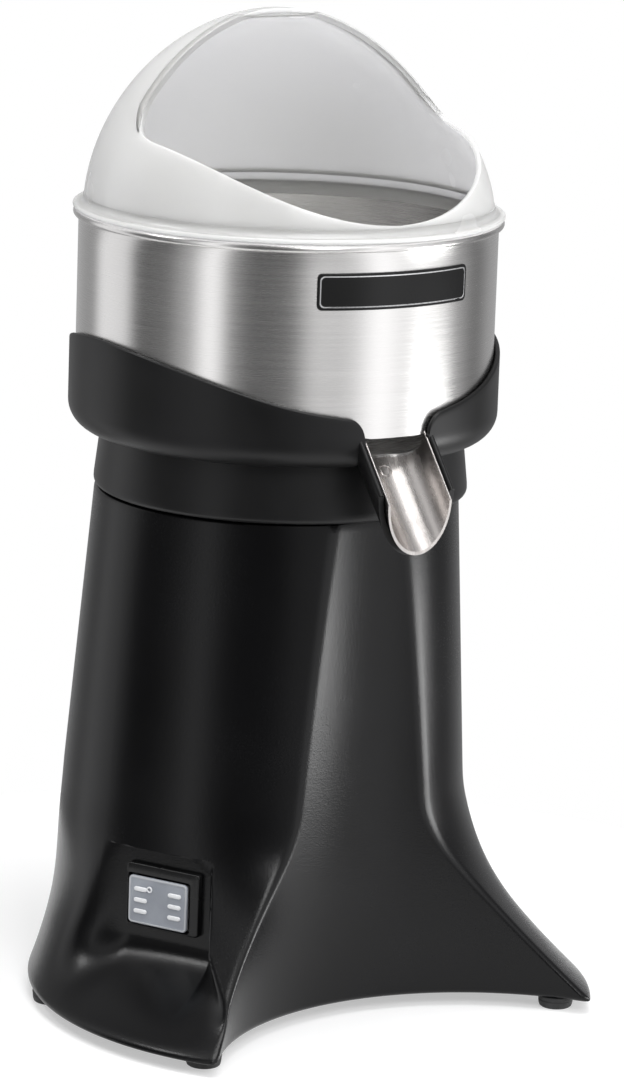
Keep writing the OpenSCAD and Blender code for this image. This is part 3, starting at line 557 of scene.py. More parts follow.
def half_outline(z, inset):
    """Points of one side of the outline at each height, from the hollow's middle to the back's."""
    edge = edge_turn(z, inset)
    corner = outer_point(z, edge, inset)
    angle = np.arcsin(-corner[:, 0] / (SCOOP_R + inset))
    turn_1 = edge + EDGE_ROUND / outline_r(z, edge)
    angle_1 = angle - EDGE_ROUND / SCOOP_R
    p0, p2 = scoop_point(z, angle_1, inset), outer_point(z, turn_1, inset)
    cols = [scoop_point(z, angle_1 * k / 24, inset) for k in range(24)]
    for k in range(10):
        t = k / 10
        cols.append((1 - t) ** 2 * p0 + 2 * t * (1 - t) * corner + t * t * p2)
    zone = [turn_at(z, side, math.radians(SWITCH_TURN), inset) for side in POCKET_COLUMNS]
    for k in range(8):
        cols.append(outer_point(z, turn_1 + (zone[0] - turn_1) * k / 8, inset))
    cols += [outer_point(z, t, inset) for t in zone]
    rear = turn_at(z, -REAR_SIDE, math.pi, inset)
    for k in range(1, 34):
        cols.append(outer_point(z, zone[-1] + (rear - zone[-1]) * k / 34, inset))
    cols += [outer_point(z, turn_at(z, -side, math.pi, inset), inset) for side in REAR_COLUMNS]
    cols.append(outer_point(z, np.full_like(z, math.pi), inset))
    return np.stack(cols, 1)


def outline_rows(levels, insets):
    """Rows of points round the whole outline, one for each height and its inset."""
    z = np.asarray(levels, float)
    half = half_outline(z, np.asarray(insets, float))
    flat = np.concatenate([half, half[:, -2:0:-1] * [-1, 1]], 1)
    return np.concatenate([flat, np.broadcast_to(z[:, None, None], flat.shape[:2] + (1,))], 2)


def smooth_max(a, b, k):
    """The larger of two, blended where they differ by less than k."""
    return np.maximum(a, b) + np.maximum(k - np.abs(a - b), 0) ** 2 / (4 * k)


def smooth_min(a, b, k):
    return -smooth_max(-a, -b, k)


def smooth_step(x):
    x = np.clip(x, 0, 1)
    return x * x * (3 - 2 * x)


def press_pocket(points, grow=0.0):
    """Pushes the wall in to the switch pocket, which fades out below and behind the switch."""
    side, depth, up = to_switch(points)
    drop = np.maximum(-14.0 - up, 0)  # how far below the switch, where the walls soften
    front = (side - POCKET_FRONT - grow - 0.2 * drop) * (FRONT_RISE - 0.02 * drop)
    top = (up - POCKET_TOP - grow) * TOP_RISE
    pocket = smooth_max(smooth_max(front, top, 0.8), 0.0, 1.0) - grow
    pressed = smooth_min(depth, pocket, 1.6 + 0.3 * drop)
    share = (1 - smooth_step((-18 - up) / 32)) * (1 - smooth_step((-16 - side) / 42))
    pushed = np.where(depth > -8, depth + (pressed - depth) * share, depth)
    points[..., :2] += (pushed - depth)[..., None] * SWITCH_OUT
    if grow:
        return points
    # flat round the cord gland at the back
    ring = (np.hypot(points[..., 0], points[..., 2] - INLET_Z) - GLAND_FLAT_R) * 5.0
    y = points[..., 1]
    flat = smooth_min(y, GLAND_FLAT_Y + smooth_max(ring, 0.0, 0.5), 0.5)
    points[..., 1] = np.where(y > 60, flat, y)
    return points


def pedestal():
    """The casting as one closed shell: up the outside, over the deck with its hole, and down the inside."""
    lip = [(SKIRT_Z + FOOT_ROUND * (1 - math.cos(a)), FOOT_ROUND * (1 - math.sin(a)))
           for a in np.linspace(0, math.pi / 2, 7)]
    levels = np.concatenate([np.arange(10.5, 26, 1.5), np.arange(26, 80, 1.0), np.arange(80, 84.5, 0.4),
                             np.arange(85, 100, 1.5), np.arange(100, DECK_Z - 2, 3.5)])
    top = [(DECK_Z - 1.6, 0.0), (DECK_Z - 0.5, 0.25), (DECK_Z, 0.9)]
    outer = lip + [(z, 0.0) for z in levels] + top
    rows = press_pocket(outline_rows(*zip(*outer)))
    cols = rows.shape[1]
    turn = np.arctan2(rows[-1, :, 1], rows[-1, :, 0])
    under = DECK_Z - DECK_T
    deck = [np.stack([radius * np.cos(turn), radius * np.sin(turn), np.full(cols, z)], 1)
            for radius, z in ((60, DECK_Z), (DECK_HOLE_R, DECK_Z), (DECK_HOLE_R, under), (60, under))]
    inner_levels = np.concatenate([[under], np.arange(225, 100, -12), np.arange(99, 24, -1.5),
                                   [20, 14, 9, SKIRT_Z]])
    inner = press_pocket(outline_rows(inner_levels, [WALL] * len(inner_levels)), 2.5)
    verts = np.concatenate([rows, np.stack(deck), inner])
    low, high = HOUSING_LOW[:2] - [0, AXIS_Y], HOUSING_HIGH[:2] - [0, AXIS_Y]
    verts[..., :2] = np.clip(verts[..., :2], low, high)
    faces = grid_faces(len(verts), cols, True, True)
    return new_object("pedestal", verts, faces, 38)


piece(pedestal(), "base", COAT, "powder_coat", "housing")


# ---------- feet
# (radius, height) from the screw's hole over the top and down the ribbed side to the sole
FOOT_PROFILE = [(2.4, 2.6), (2.4, 9.0), (4.6, 9.0), (4.6, 5.9), (7.9, 5.9), (8.4, 5.6), (8.5, 5.0),
                (8.4, 4.2), (8.05, 3.9), (8.05, 3.5), (8.3, 3.2), (8.1, 1.6), (7.7, 0.5), (7.1, 0.06),
                (6.7, 0.0), (5.2, 0.0), (4.7, 0.25), (4.6, 0.7), (4.6, 2.6)]


def foot(node):
    low, high = box_mm(node)
    verts, faces = revolve(FOOT_PROFILE, 48)
    centre = [(low[0] + high[0]) / 2, (low[1] + high[1]) / 2 - AXIS_Y, 0]
    return new_object(node + "_rubber", verts + centre, faces, 35)


for place in ("front", "side", "rear"):
    for hand in ("left", "right"):
        foot_node = "foot_%s_%s" % (place, hand)
        piece(foot(foot_node), "base", RUBBER, "foot_rubber", foot_node)


# ---------- switch
def stacked(name, loops, sharp=35, closed=False):
    """Joins loops of (side, up) points, each at its own distance out, into a solid seen from the switch."""
    rows = [[from_switch(x, out, y) for x, y in loop] for loop, out in loops]
    faces = grid_faces(len(rows), len(rows[0]), True, True) if closed else solid_faces(rows)
    return new_object(name, rows, faces, sharp)


def rounded_loop(half_w, half_h, r, steps=8):
    """Points of a rounded rectangle round the origin, anticlockwise."""
    loop = []
    for cx, cy, start in ((1, -1, -90), (1, 1, 0), (-1, 1, 90), (-1, -1, 180)):
        for a in np.radians(np.linspace(start, start + 90, steps)):
            loop.append(((half_w - r) * cx + r * math.cos(a), (half_h - r) * cy + r * math.sin(a)))
    return np.array(loop)


def frame_loops(half_w, half_h, r, steps):
    """Loops of a rounded rectangle, each inset and raised as `steps` says."""
    return [(rounded_loop(half_w - inset, half_h - inset, max(0.3, r - inset)), out) for inset, out in steps]


COVER_SIZE = (16.2, 11.6, 2.2)  # half width, half height and corner of the soft cover
BAR_W, BAR_H, BAR_RISE = 3.55, 1.05, 3.6
BAR_PLACE, BAR_STEP = 9.4, 5.4  # the raised bars: two columns of three
FRAME_MIDDLE = (2, 2)  # the bezel reaches further to the front and up

cover = stacked("switch_cover", frame_loops(*COVER_SIZE, (
    (0.3, 2.8), (0.0, 3.0), (0.0, 3.5), (0.15, 3.8), (1.3, 3.82), (1.6, 3.7), (2.0, 3.66), (5.0, 3.7))), 40)
piece(cover, "switch_rocker", COVER, "boot_rubber", "switch_boot")
rim = stacked("cover_rim", frame_loops(*COVER_SIZE, (
    (0.15, 3.7), (0.3, 3.95), (0.6, 4.06), (0.95, 4.0), (1.2, 3.75))), 60, True)
piece(rim, "switch_rocker", COVER_EDGE, "boot_rubber")
for column, column_name in ((-1, "rear"), (1, "fore")):
    for row in (-1, 0, 1):
        middle = (BAR_PLACE * column, BAR_STEP * row)
        bar = [(rounded_loop(BAR_W - inset, BAR_H - inset, BAR_H - inset) + middle, BAR_RISE + rise)
               for inset, rise in ((0.0, 0.0), (0.0, 0.6), (0.15, 0.85), (0.5, 0.95))]
        mark = stacked("mark_%s_%d" % (column_name, row + 2), bar, 50)
        piece(mark, "switch_rocker", BAR_WHITE, "boot_rubber")


def bezel():
    """The frame round the cover: up its outside and down its inside."""
    outer = [(rounded_loop(20.0 - inset, 15.2 - inset, 1.6) + FRAME_MIDDLE, out)
             for inset, out in ((0.0, -0.4), (0.0, 2.4), (0.2, 2.8), (0.7, 3.0))]
    inner = [(rounded_loop(17.1 + grow, 12.3 + grow, 1.4), out)
             for grow, out in ((0.5, 3.0), (0.15, 2.85), (0.0, 2.5), (0.0, -0.4))]
    return stacked("switch_frame", outer + inner, 45, True)


piece(bezel(), "base", BEZEL_BLACK, "bezel_plastic", "switch_bezel")


# ---------- collar
COLLAR_R = 102.0
COLLAR_T = 2.5
COLLAR_DIP = 26.5  # how far the upper edge comes down to the front and rear
CUP_FLOOR = 272.0
CUP_ROUND = 13.0
SEAT_R = 50.0
GAP_HALF = 17.5  # half the gap between the two front lobes
LOBE_ROUND = 10.0
LOBE_TOP = COLLAR_TOP - COLLAR_DIP


def collar_edge(x, front):
    """Height of the collar's upper edge, which dips to the front and rear and rounds down at the gap."""
    top = COLLAR_TOP - COLLAR_DIP * (front / COLLAR_R) ** 2
    off = max(GAP_HALF + LOBE_ROUND - x, 0)
    if front < 0 or off == 0:
        return top
    lobe = LOBE_TOP - LOBE_ROUND + 2 + math.sqrt(max(LOBE_ROUND ** 2 - off ** 2, 0))
    return smooth_min(top, lobe, 1.0)


def collar():
    """The cup that holds the bowl, with its neck and floor."""
    # columns: half of the cup from the gap to the back, finest at the lobe's rounded corner
    fine = GAP_HALF + LOBE_ROUND * (1 - np.cos(np.linspace(0, np.pi / 2, 16)))
    turns = list(np.arcsin(fine / COLLAR_R)) + list(np.linspace(np.arcsin(30 / COLLAR_R), np.pi, 90))
    columns = []
    under = CUP_FLOOR - COLLAR_T
    wall_z = under + CUP_ROUND
    for turn in turns:
        top = collar_edge(COLLAR_R * math.sin(turn), COLLAR_R * math.cos(turn))
        up = wall_z + (top - wall_z - COLLAR_T / 2) * np.arange(1, 7) / 6
        section = [(70, under), (80, under), (86.6, under - 0.5)]
        section += arc(COLLAR_R - CUP_ROUND, wall_z, CUP_ROUND, -82, 0, 12)
        section += [(COLLAR_R, z) for z in up]
        section += arc(COLLAR_R - COLLAR_T / 2, top - COLLAR_T / 2, COLLAR_T / 2, 20, 180, 8)
        section += [(COLLAR_R - COLLAR_T, z) for z in up[-2::-1]]
        section += arc(COLLAR_R - CUP_ROUND, wall_z, CUP_ROUND - COLLAR_T, 0, -88, 10)
        section += [(80, CUP_FLOOR), (70, CUP_FLOOR)]
        r, z = np.array(section).T
        first = np.arcsin(GAP_HALF / r)
        bent = first + (math.pi - first) * (turn - turns[0]) / (math.pi - turns[0])
        columns.append(np.stack([-r * np.sin(bent), -r * np.cos(bent), z], 1))
    half = np.stack(columns)
    # the wall's end is rounded: the last strip narrows to its own middle
    middle = (half[0] + half[0][::-1]) / 2
    ends = []
    for a in np.linspace(math.pi / 2, 0, 5)[:-1]:
        narrowed = middle + (half[0] - middle) * math.cos(a)
        narrowed[:, 0] += COLLAR_T / 2 * math.sin(a)
        ends.append(narrowed)
    half = np.concatenate([np.stack(ends), half])
    full = np.concatenate([half, half[-2::-1] * [-1, 1, 1]])
    neck = [(86.4, CUP_FLOOR - 1.8), (86.6, 267), (88.9, 247)] + arc(86, 245, 3, -5, -88, 6)
    neck += [(84.4, 242), (83.9, 243), (83.9, 260), (83.2, CUP_FLOOR - 1.8)]
    floor = [(SEAT_R, under), (70.2, under), (70.2, CUP_FLOOR),
             (SEAT_R + 0.6, CUP_FLOOR), (SEAT_R, CUP_FLOOR - 0.6)]
    return joined("collar_shell", [(full, solid_faces(full)), revolve(neck), revolve(floor)], 45)


piece(collar(), "base", COLLAR_BLACK, "collar_moulding", "collar")


# ---------- spout and cradle
SPOUT_R = 17.2
SHEET = 1.2  # the steel of the spout and the bowl
SPOUT_FALL = math.radians(48.5)
SPOUT_START = np.array([0, -98.2, 284.0])  # where the trough's middle line passes the bowl's wall
DOWN = np.array([0, -math.cos(SPOUT_FALL), -math.sin(SPOUT_FALL)])
OUT = np.array([0, -math.sin(SPOUT_FALL), math.cos(SPOUT_FALL)])
SIDE = np.array([1.0, 0, 0])
SPOUT_LEN = 35.2
END_LEAN = math.radians(3)
CORNER_R = 88.0  # middle of the bowl's rounded lower corner
CORNER_Z = 283.4


def trough_point(r, angle, s):
    """Point of a half-round trough: its angle is 0 or -pi at the rims and -pi / 2 at the bottom."""
    return SPOUT_START + DOWN * s + SIDE * r * math.cos(angle) + OUT * r * math.sin(angle)


def end_of_run(r, angle):
    """How far down the trough's line at this angle reaches the leaning end plane."""
    tip = SPOUT_START + DOWN * SPOUT_LEN
    normal = np.array([0, -math.cos(END_LEAN), -math.sin(END_LEAN)])
    start = trough_point(r, angle, 0)
    return float(np.dot(tip - start, normal) / np.dot(DOWN, normal))


def trough(name, r_out, r_in, start_of, end_of, runs=28, turns=40):
    """A half-round sheet between two radii, closed all round, with rounded rims."""
    angles = -math.pi + math.pi * np.arange(turns + 1) / turns
    half, middle = (r_out - r_in) / 2, (r_out + r_in) / 2
    lip = [(middle - half * math.cos(b), half * math.sin(b)) for b in np.linspace(0, math.pi, 7)[1:-1]]
    # round the section: (radius, angle, height over the rim), along the inside, a rim, the outside, a rim
    section = [(r_in, a, 0) for a in angles] + [(r, 0, up) for r, up in lip]
    section += [(r_out, a, 0) for a in angles[::-1]] + [(r, -math.pi, up) for r, up in lip[::-1]]
    rows = []
    for t in np.arange(runs + 1) / runs:
        rows.append([trough_point(r, a, start_of(r, a) * (1 - t) + end_of(r, a) * t) + up * OUT
                     for r, a, up in section])
    cols = len(section)
    first = turns + 1 + len(lip)
    faces = grid_faces(len(rows), cols, False, True)
    for row, order in ((0, -1), (runs, 1)):
        ring = ring_face(row, cols)
        for k in range(turns):
            across = first + turns - k
            faces.append([ring[k], ring[k + 1], ring[across - 1], ring[across]][::order])
        faces.append(ring[turns:first + 1][::order])
        faces.append((ring[first + turns:] + ring[:1])[::order])
    return new_object(name, rows, faces, 40)


def wall_start(r, angle):
    """Where the trough's line at this angle enters the bowl's wall or floor corner."""
    for s in np.arange(12, -28, -0.1):
        x, y, z = trough_point(r, angle, s)
        radius = math.hypot(x, y)
        corner = math.hypot(max(radius - CORNER_R, 0), min(z - CORNER_Z, 0))
        if corner < 10.4 or (radius < CORNER_R and z > BOWL_Z + 0.6):
            return s
    return -28.0


def cradle_start(r, angle):
    """Where the cradle's line at this angle comes out of the collar."""
    for s in np.arange(22, -8, -0.1):
        x, y, z = trough_point(r, angle, s)
        if z > 282.5:
            limit = 100.9
        elif z > 269.5:
            limit = 89 + math.sqrt(169 - (282.5 - z) ** 2) - 1.2
        else:
            limit = 87.0
        if math.hypot(x, y) < limit:
            return s
    return -8.0


def cradle_end(r, angle):
    return end_of_run(r, angle) - 5


spout = trough("spout_trough", SPOUT_R, SPOUT_R - SHEET, wall_start, end_of_run)
piece(spout, "bowl_unit", POLISHED, "spout_steel", "spout")
cradle = trough("cradle", SPOUT_R + 3.2, SPOUT_R + 0.6, cradle_start, cradle_end)
piece(cradle, "base", COLLAR_BLACK, "collar_moulding")


def stamped_mark():
    """D-shaped mark pressed up in the trough, near the bowl: a straight back and a half-round belly."""
    outline = [(6.4, -3.4), (8.6, -3.4), (10.8, -3.4)]
    outline += [(8.6 + 2.9 * math.cos(a), -1.6 + 4.2 * math.sin(a))
                for a in np.linspace(0.2, math.pi - 0.2, 12)]
    bed = SPOUT_R - SHEET - 0.1
    return [trough_point(bed, -math.pi / 2 + across / SPOUT_R, run) for run, across in outline]


def ring_mark():
    """Small ring on the switch cover, beside the upper bar of the rear column."""
    return [from_switch(-4.4 + 1.15 * math.cos(a), 4.1, 6.0 + 1.15 * math.sin(a))
            for a in np.linspace(0, 2 * math.pi, 32, endpoint=False)]


piece(tube("spout_mark", stamped_mark(), 0.55), "bowl_unit", POLISHED, "spout_steel")
piece(tube("mark_ring", ring_mark(), 0.4), "switch_rocker", BAR_WHITE, "boot_rubber")


# ---------- bowl
BOWL_R = 99.0
BOWL_ROUND = 11.0
BEAD_R = 1.9
CHIMNEY_R = 15.0
CHIMNEY_TOP = 318.0


def bowl():
    r0, zc = BOWL_R - BOWL_ROUND, BOWL_Z + BOWL_ROUND
    profile = [(CHIMNEY_R - SHEET, BOWL_Z), (40, BOWL_Z), (70, BOWL_Z)]
    profile += arc(r0, zc, BOWL_ROUND, -90, 0, 14)
    profile += [(BOWL_R, z) for z in np.linspace(zc + 6, RIM_Z - 5.2, 12)]
    profile += arc(BOWL_R - SHEET + BEAD_R, RIM_Z - BEAD_R, BEAD_R, -100, 180, 16)
    profile += [(BOWL_R - SHEET, z) for z in np.linspace(RIM_Z - 5.2, zc + 6, 12)]
    profile += arc(r0, zc, BOWL_ROUND - SHEET, 0, -90, 12)
    profile += [(70, BOWL_Z + SHEET), (40, BOWL_Z + SHEET), (CHIMNEY_R + 3, BOWL_Z + SHEET)]
    profile += arc(CHIMNEY_R + 3, BOWL_Z + SHEET + 3, 3, -100, -170, 5)
    profile += [(CHIMNEY_R, BOWL_Z + 8), (CHIMNEY_R, CHIMNEY_TOP - 0.5), (CHIMNEY_R - 0.5, CHIMNEY_TOP),
                (CHIMNEY_R - SHEET, CHIMNEY_TOP - 0.3)]
    obj = new_object("bowl_shell", *revolve(profile, 256, 0.003))
    # the outlet: a half-round cut along the spout, and a low slot across the wall where it comes out
    inner = SPOUT_R - SHEET
    loop = [(inner * math.cos(a), inner * math.sin(a)) for a in np.linspace(-math.pi, 0, 33)]
    round_cut = [[SPOUT_START + DOWN * s + SIDE * x + OUT * y for x, y in loop] for s in (-40, 20)]
    corners = ((-inner, -5), (inner, -5), (inner, 5), (-inner, 5))
    slot = [[(x, y - BOWL_R, z) for x, y in corners] for z in (280.0, 284.0)]
    for name, rows in (("outlet_cutter", round_cut), ("slot_cutter", slot)):
        carve(obj, new_object(name, rows, solid_faces(rows)), 34)
    return obj


piece(bowl(), "bowl_unit", BRUSHED, "bowl_steel", "bowl")


# ---------- nameplate
PLATE_MIDDLE = RIM_Z - 21.5
PLATE_HALF_H = 8.5
PLATE_HALF = math.radians(23.8) * BOWL_R  # half its length along the wall
PLATE_T = 0.8
PLATE_CORNER = 2.4


def on_bowl(points, r):
    """Wraps flat points (along the wall, up) round the bowl at radius r."""
    turn = points[:, 0] / BOWL_R
    return np.stack([r * np.sin(turn), -r * np.cos(turn), PLATE_MIDDLE + points[:, 1]], 1)


def nameplate():
    """Thin plate with rounded corners that follows the bowl's wall."""
    corner = np.linspace(PLATE_HALF, PLATE_HALF - PLATE_CORNER, 8)
    straight = PLATE_HALF - 3.2
    along = np.concatenate([-corner, np.linspace(-straight, straight, 60), corner[::-1]])
    past = np.clip(np.abs(along) - (PLATE_HALF - PLATE_CORNER), 0, PLATE_CORNER)
    height = PLATE_HALF_H - PLATE_CORNER + np.sqrt(PLATE_CORNER ** 2 - past ** 2)
    layers = []
    for rise, shrink in ((0.02, 0.0), (PLATE_T - 0.25, 0.0), (PLATE_T, 0.25)):
        part = along * (PLATE_HALF - shrink) / PLATE_HALF
        upper = on_bowl(np.stack([part, height - shrink], 1), BOWL_R + rise)
        lower = on_bowl(np.stack([part, shrink - height], 1), BOWL_R + rise)
        layers.append(np.concatenate([lower, upper[::-1]]))
    count = len(layers[0])
    faces = grid_faces(3, count, False, True)
    back, face = ring_face(0, count), ring_face(2, count)
    for k in range(len(along) - 1):
        faces.append([face[k], face[k + 1], face[-2 - k], face[-1 - k]])
        faces.append([back[-1 - k], back[-2 - k], back[k + 1], back[k]])
    return new_object("badge", layers, faces, 35)


def badge_line():
    """The plate's fine border, a flat band just above its face."""
    face = BOWL_R + PLATE_T
    loops = []
    for inset, r in ((1.2, face - 0.1), (1.25, face + 0.03), (1.75, face + 0.03), (1.8, face - 0.1)):
        loop = rounded_loop(PLATE_HALF - inset, PLATE_HALF_H - inset, 2.0)
        dense = []
        for a, b in zip(loop, np.roll(loop, -1, 0)):
            steps = max(1, int(np.linalg.norm(b - a) / 2))
            dense += [a + (b - a) * k / steps for k in range(steps)]
        loops.append(on_bowl(np.array(dense), r))
    count = min(len(loop) for loop in loops)
    loops = [loop[:count] for loop in loops]
    return new_object("badge_line", loops, grid_faces(4, count, True, True), 50)


piece(nameplate(), "bowl_unit", PLATE_BLACK, "nameplate_enamel", "nameplate")
piece(badge_line(), "bowl_unit", SILVER, "nameplate_enamel")


# ---------- reamer
REAMER_LOW, REAMER_HIGH = (corner[2] for corner in box_mm("reamer"))
REAMER_R = 38.0  # the cone's base; its flange is a little wider
FLUTES = 10
RIB = 5.0
BORE_R, BORE_TOP = 9.0, 354.0  # the blind bore that holds the metal insert


def reamer():
    """Ribbed cone whose ribs run out towards the tip, on a round flange with a blind bore."""
    cols = 240
    turn = np.arange(cols) * 2 * np.pi / cols
    rib_shape = np.abs(np.cos(turn * FLUTES / 2)) ** 2.2
    low, edge = REAMER_LOW, REAMER_R + 1.0
    rows = [(np.full(cols, r), z) for r, z in (
        (BORE_R, BORE_TOP), (BORE_R, low), (edge, low), (edge + 0.5, low + 0.5), (edge + 0.5, low + 2.5),
        (edge, low + 3.0))]
    first = low + 2.9
    for t in np.sin(np.linspace(0, np.pi / 2, 70)):
        core = (REAMER_R - RIB) * (1 - t ** 1.7) ** 0.62
        ribs = RIB * (1 - t) ** 0.4 * rib_shape
        rows.append((core + ribs + 0.4 * (1 - t) + 0.05, first + t * (REAMER_HIGH - first)))
    rows = [np.stack([r * np.cos(turn), r * np.sin(turn), np.full(cols, z)], 1) for r, z in rows]
    return new_object("reamer_cone_shell", rows, solid_faces(rows), 50)


piece(reamer(), "reamer_cone", REAMER_WHITE, "reamer_plastic", "reamer")


# ---------- splash guard
FLANGE_Z = RIM_Z + 0.3
GUARD_R = 97.0  # outer radius at the flange
GUARD_H = GUARD_TOP - FLANGE_Z
GUARD_T = 2.5
FLANGE_R = 101.8
FLANGE_T = 2.2


def guard_circle(z):
    """Radius and backward shift of the dome at height z."""
    u = np.clip((z - FLANGE_Z) / GUARD_H, 0, 1)
    return np.maximum(0.4, GUARD_R * (1 - u ** 1.8) ** 0.55), 14 * u ** 1.5


def mouth_turn(y, z):
    """Angle from the front at which the dome at height z passes y."""
    r, back = guard_circle(z)
    return math.acos(float(np.clip((back - y) / r, -1, 1)))


def mouth_line():
    """The mouth's edge from the side: points (y, z), evenly spaced from the front dip to the top."""
    front = [(y, 39 - 32 * (y / 97.0) ** 2) for y in np.linspace(-97, -16, 40)]
    corner = [(-8.5, 39.5), (-3.4, 41.7), (0.4, 46.0)]
    hood = [(2.5 + 14 * (rise / 62) ** 1.2, 39 + rise) for rise in np.linspace(14, 55, 24)]
    line = np.array(front + corner + hood)
    line[:, 1] += RIM_Z
    run = np.concatenate([[0], np.cumsum(np.hypot(*np.diff(line, axis=0).T))])
    even = np.linspace(0, run[-1], 400)
    line = np.stack([np.interp(even, run, line[:, 0]), np.interp(even, run, line[:, 1])], 1)
    # smoothed, and kept rising so that each height has one point
    kernel = np.exp(-np.linspace(-2, 2, 21) ** 2)
    kernel /= kernel.sum()
    padded = np.concatenate([line[:1].repeat(10, 0), line, line[-1:].repeat(10, 0)])
    line = np.stack([np.convolve(padded[:, k], kernel, "valid") for k in range(2)], 1)
    line[:, 1] = np.maximum.accumulate(line[:, 1] + np.arange(len(line)) * 1e-5)
    return line


def dome_sheet():
    """The dome's outer surface: whole circles under the mouth, open ones that start at its edge above."""
    line = mouth_line()
    levels = list(np.linspace(FLANGE_Z + FLANGE_T + 2.0, line[0, 1] - 0.4, 4))
    starts = [0.0] * len(levels)
    share = np.linspace(0, 1, 120) ** 1.15
    for y, z in line[(share * (len(line) - 1)).astype(int)]:
        if z < FLANGE_Z + GUARD_H - 0.02:
            levels.append(z)
            starts.append(max(mouth_turn(y, z), starts[-1]))
    cols = 64
    rows = []
    for z, start in zip(levels, starts):
        r, back = guard_circle(z)
        turn = np.linspace(start, math.pi, cols)
        left = np.stack([-r * np.sin(turn), back - r * np.cos(turn), np.full(cols, z)], 1)
        rows.append(np.concatenate([left, left[-2::-1] * [-1, 1, 1]]))
    top = GUARD_TOP - 0.35
    width = 2 * cols - 1
    rows.append(np.tile([0, guard_circle(top)[1] + 0.8, top], (width, 1)))
    faces = grid_faces(len(rows), width)
    for row in range(starts.count(0.0) - 1):
        a, b = row * width + width - 1, row * width
        faces.append([a, b, b + width, a + width])
    return rows, faces


def guard_dome():
    """The dome with its thickness and a rounded edge round the mouth."""
    obj = new_object("guard_dome", *dome_sheet(), 60)
    weld = obj.modifiers.new("weld", "WELD")
    weld.merge_threshold = 0.00005
    skin = obj.modifiers.new("skin", "SOLIDIFY")
    skin.thickness, skin.offset, skin.use_even_offset = GUARD_T * MM, 1.0, False
    bevel = obj.modifiers.new("lip", "BEVEL")
    bevel.width, bevel.segments, bevel.limit_method = 1.05 * MM, 4, "ANGLE"
    bevel.angle_limit = math.radians(60)
    applied(obj)
    shade(obj, 60)
    return obj


def hood_lip():
    """Flattened bead that runs over the hood along the mouth's edge, from corner to corner."""
    path = []
    edge = [(y, z) for y, z in mouth_line() if z > RIM_Z + 41]
    for y, z in edge[::6]:
        if z > GUARD_TOP - 1.6:
            break
        r, back = guard_circle(z)
        turn = mouth_turn(y, z) + 2.6 / r
        path.append([-r * math.sin(turn), back - r * math.cos(turn), z])
    path = np.concatenate([path, np.array(path[::-1]) * [-1, 1, 1]])
    run = np.gradient(path, axis=0)
    run /= np.linalg.norm(run, axis=1)[:, None]
    out = path - [0, 8.0, FLANGE_Z + 10]
    out -= (out * run).sum(1)[:, None] * run
    out /= np.linalg.norm(out, axis=1)[:, None]
    side = np.cross(run, out)
    # the bead thins out over the last six points of each end
    count, around = len(path), 16
    share = np.minimum(1, np.minimum(np.arange(count), np.arange(count)[::-1]) / 6.0)[:, None, None]
    turn = np.arange(around)[None, :, None] * 2 * np.pi / around
    wide, high = (0.4 + 2.3 * share) * np.cos(turn), (0.2 + 0.75 * share) * np.sin(turn)
    rings = (path - 0.15 * out)[:, None] + side[:, None] * wide + out[:, None] * high
    rings[..., 2] = np.minimum(rings[..., 2], GUARD_TOP - 0.02)
    return new_object("hood_lip", rings, solid_faces(rings), 60)


def guard_flange():
    """The flange that rests on the bowl's rim, and the skirt that keeps it centred inside."""
    flange = [(GUARD_R - GUARD_T, FLANGE_Z)] + arc(FLANGE_R - 1.0, FLANGE_Z + 1.1, 1.1, -90, 90, 9)
    flange += arc(GUARD_R + 2.6, FLANGE_Z + FLANGE_T + 2.4, 2.4, -90, -175, 7)
    flange += [(GUARD_R - 0.1, FLANGE_Z + 6), (GUARD_R - GUARD_T, FLANGE_Z + 6)]
    inner = BOWL_R - SHEET
    skirt = [(inner - 0.5, FLANGE_Z), (inner - 0.5, RIM_Z - 5.4), (inner - 1.1, RIM_Z - 6),
             (inner - 1.9, RIM_Z - 6), (inner - 2.5, RIM_Z - 5.4), (inner - 2.5, FLANGE_Z + 0.5)]
    return joined("guard_flange", [revolve(flange, 256), revolve(skirt, 256)], 50)


piece(guard_dome(), "guard", WHITE, "guard_plastic", "splash_guard")
piece(hood_lip(), "guard", WHITE, "guard_plastic")
piece(guard_flange(), "guard", WHITE, "guard_plastic")


# ---------- stage, light and camera
FLOOR_R = 330.0
CAMERA_TURN = math.radians(31.8)  # the camera stands this far round from the front towards -X

# light round the room as the bowl mirrors it: (degrees to the right of the camera's own way, brightness)
STUDIO_BANDS = (
    (-175, 0.5), (-132, 0.35), (-120, 1.05), (-100, 0.95), (-88, 0.1), (-70, 0.16), (-56, 0.45),
    (-41, 1.45), (-28, 0.25), (-18, 0.12), (2, 0.14), (18, 0.65), (34, 0.75), (54, 1.5), (74, 0.95),
    (90, 0.8), (108, 0.4), (126, 0.2), (150, 0.4))


def stage():
    """A small pale disc of floor that fades into the white backdrop."""
    look = Shader("floor", (0.6, 0.6, 0.6), 0.8, Specular_IOR_Level=0.2, Emission_Strength=0.45,
                  Emission_Color=(1, 1, 1, 1))
    look.tint(look.noise(3, 2), (0.59, 0.59, 0.59), (0.61, 0.61, 0.612))
    turn = np.arange(96) * 2 * np.pi / 96
    verts = np.stack([FLOOR_R * np.cos(turn), FLOOR_R * np.sin(turn), 0 * turn], 1)
    floor = new_object("floor", verts, [ring_face(0, 96)])
    floor.data.materials.append(look.material)


def band_place(degrees):
    """Place on the room's ramp, from 0 to 1, of a direction to the right of the camera's own."""
    own = math.atan2(-math.sin(CAMERA_TURN), -math.cos(CAMERA_TURN))
    return (own - math.radians(degrees) + math.pi) / (2 * math.pi) % 1


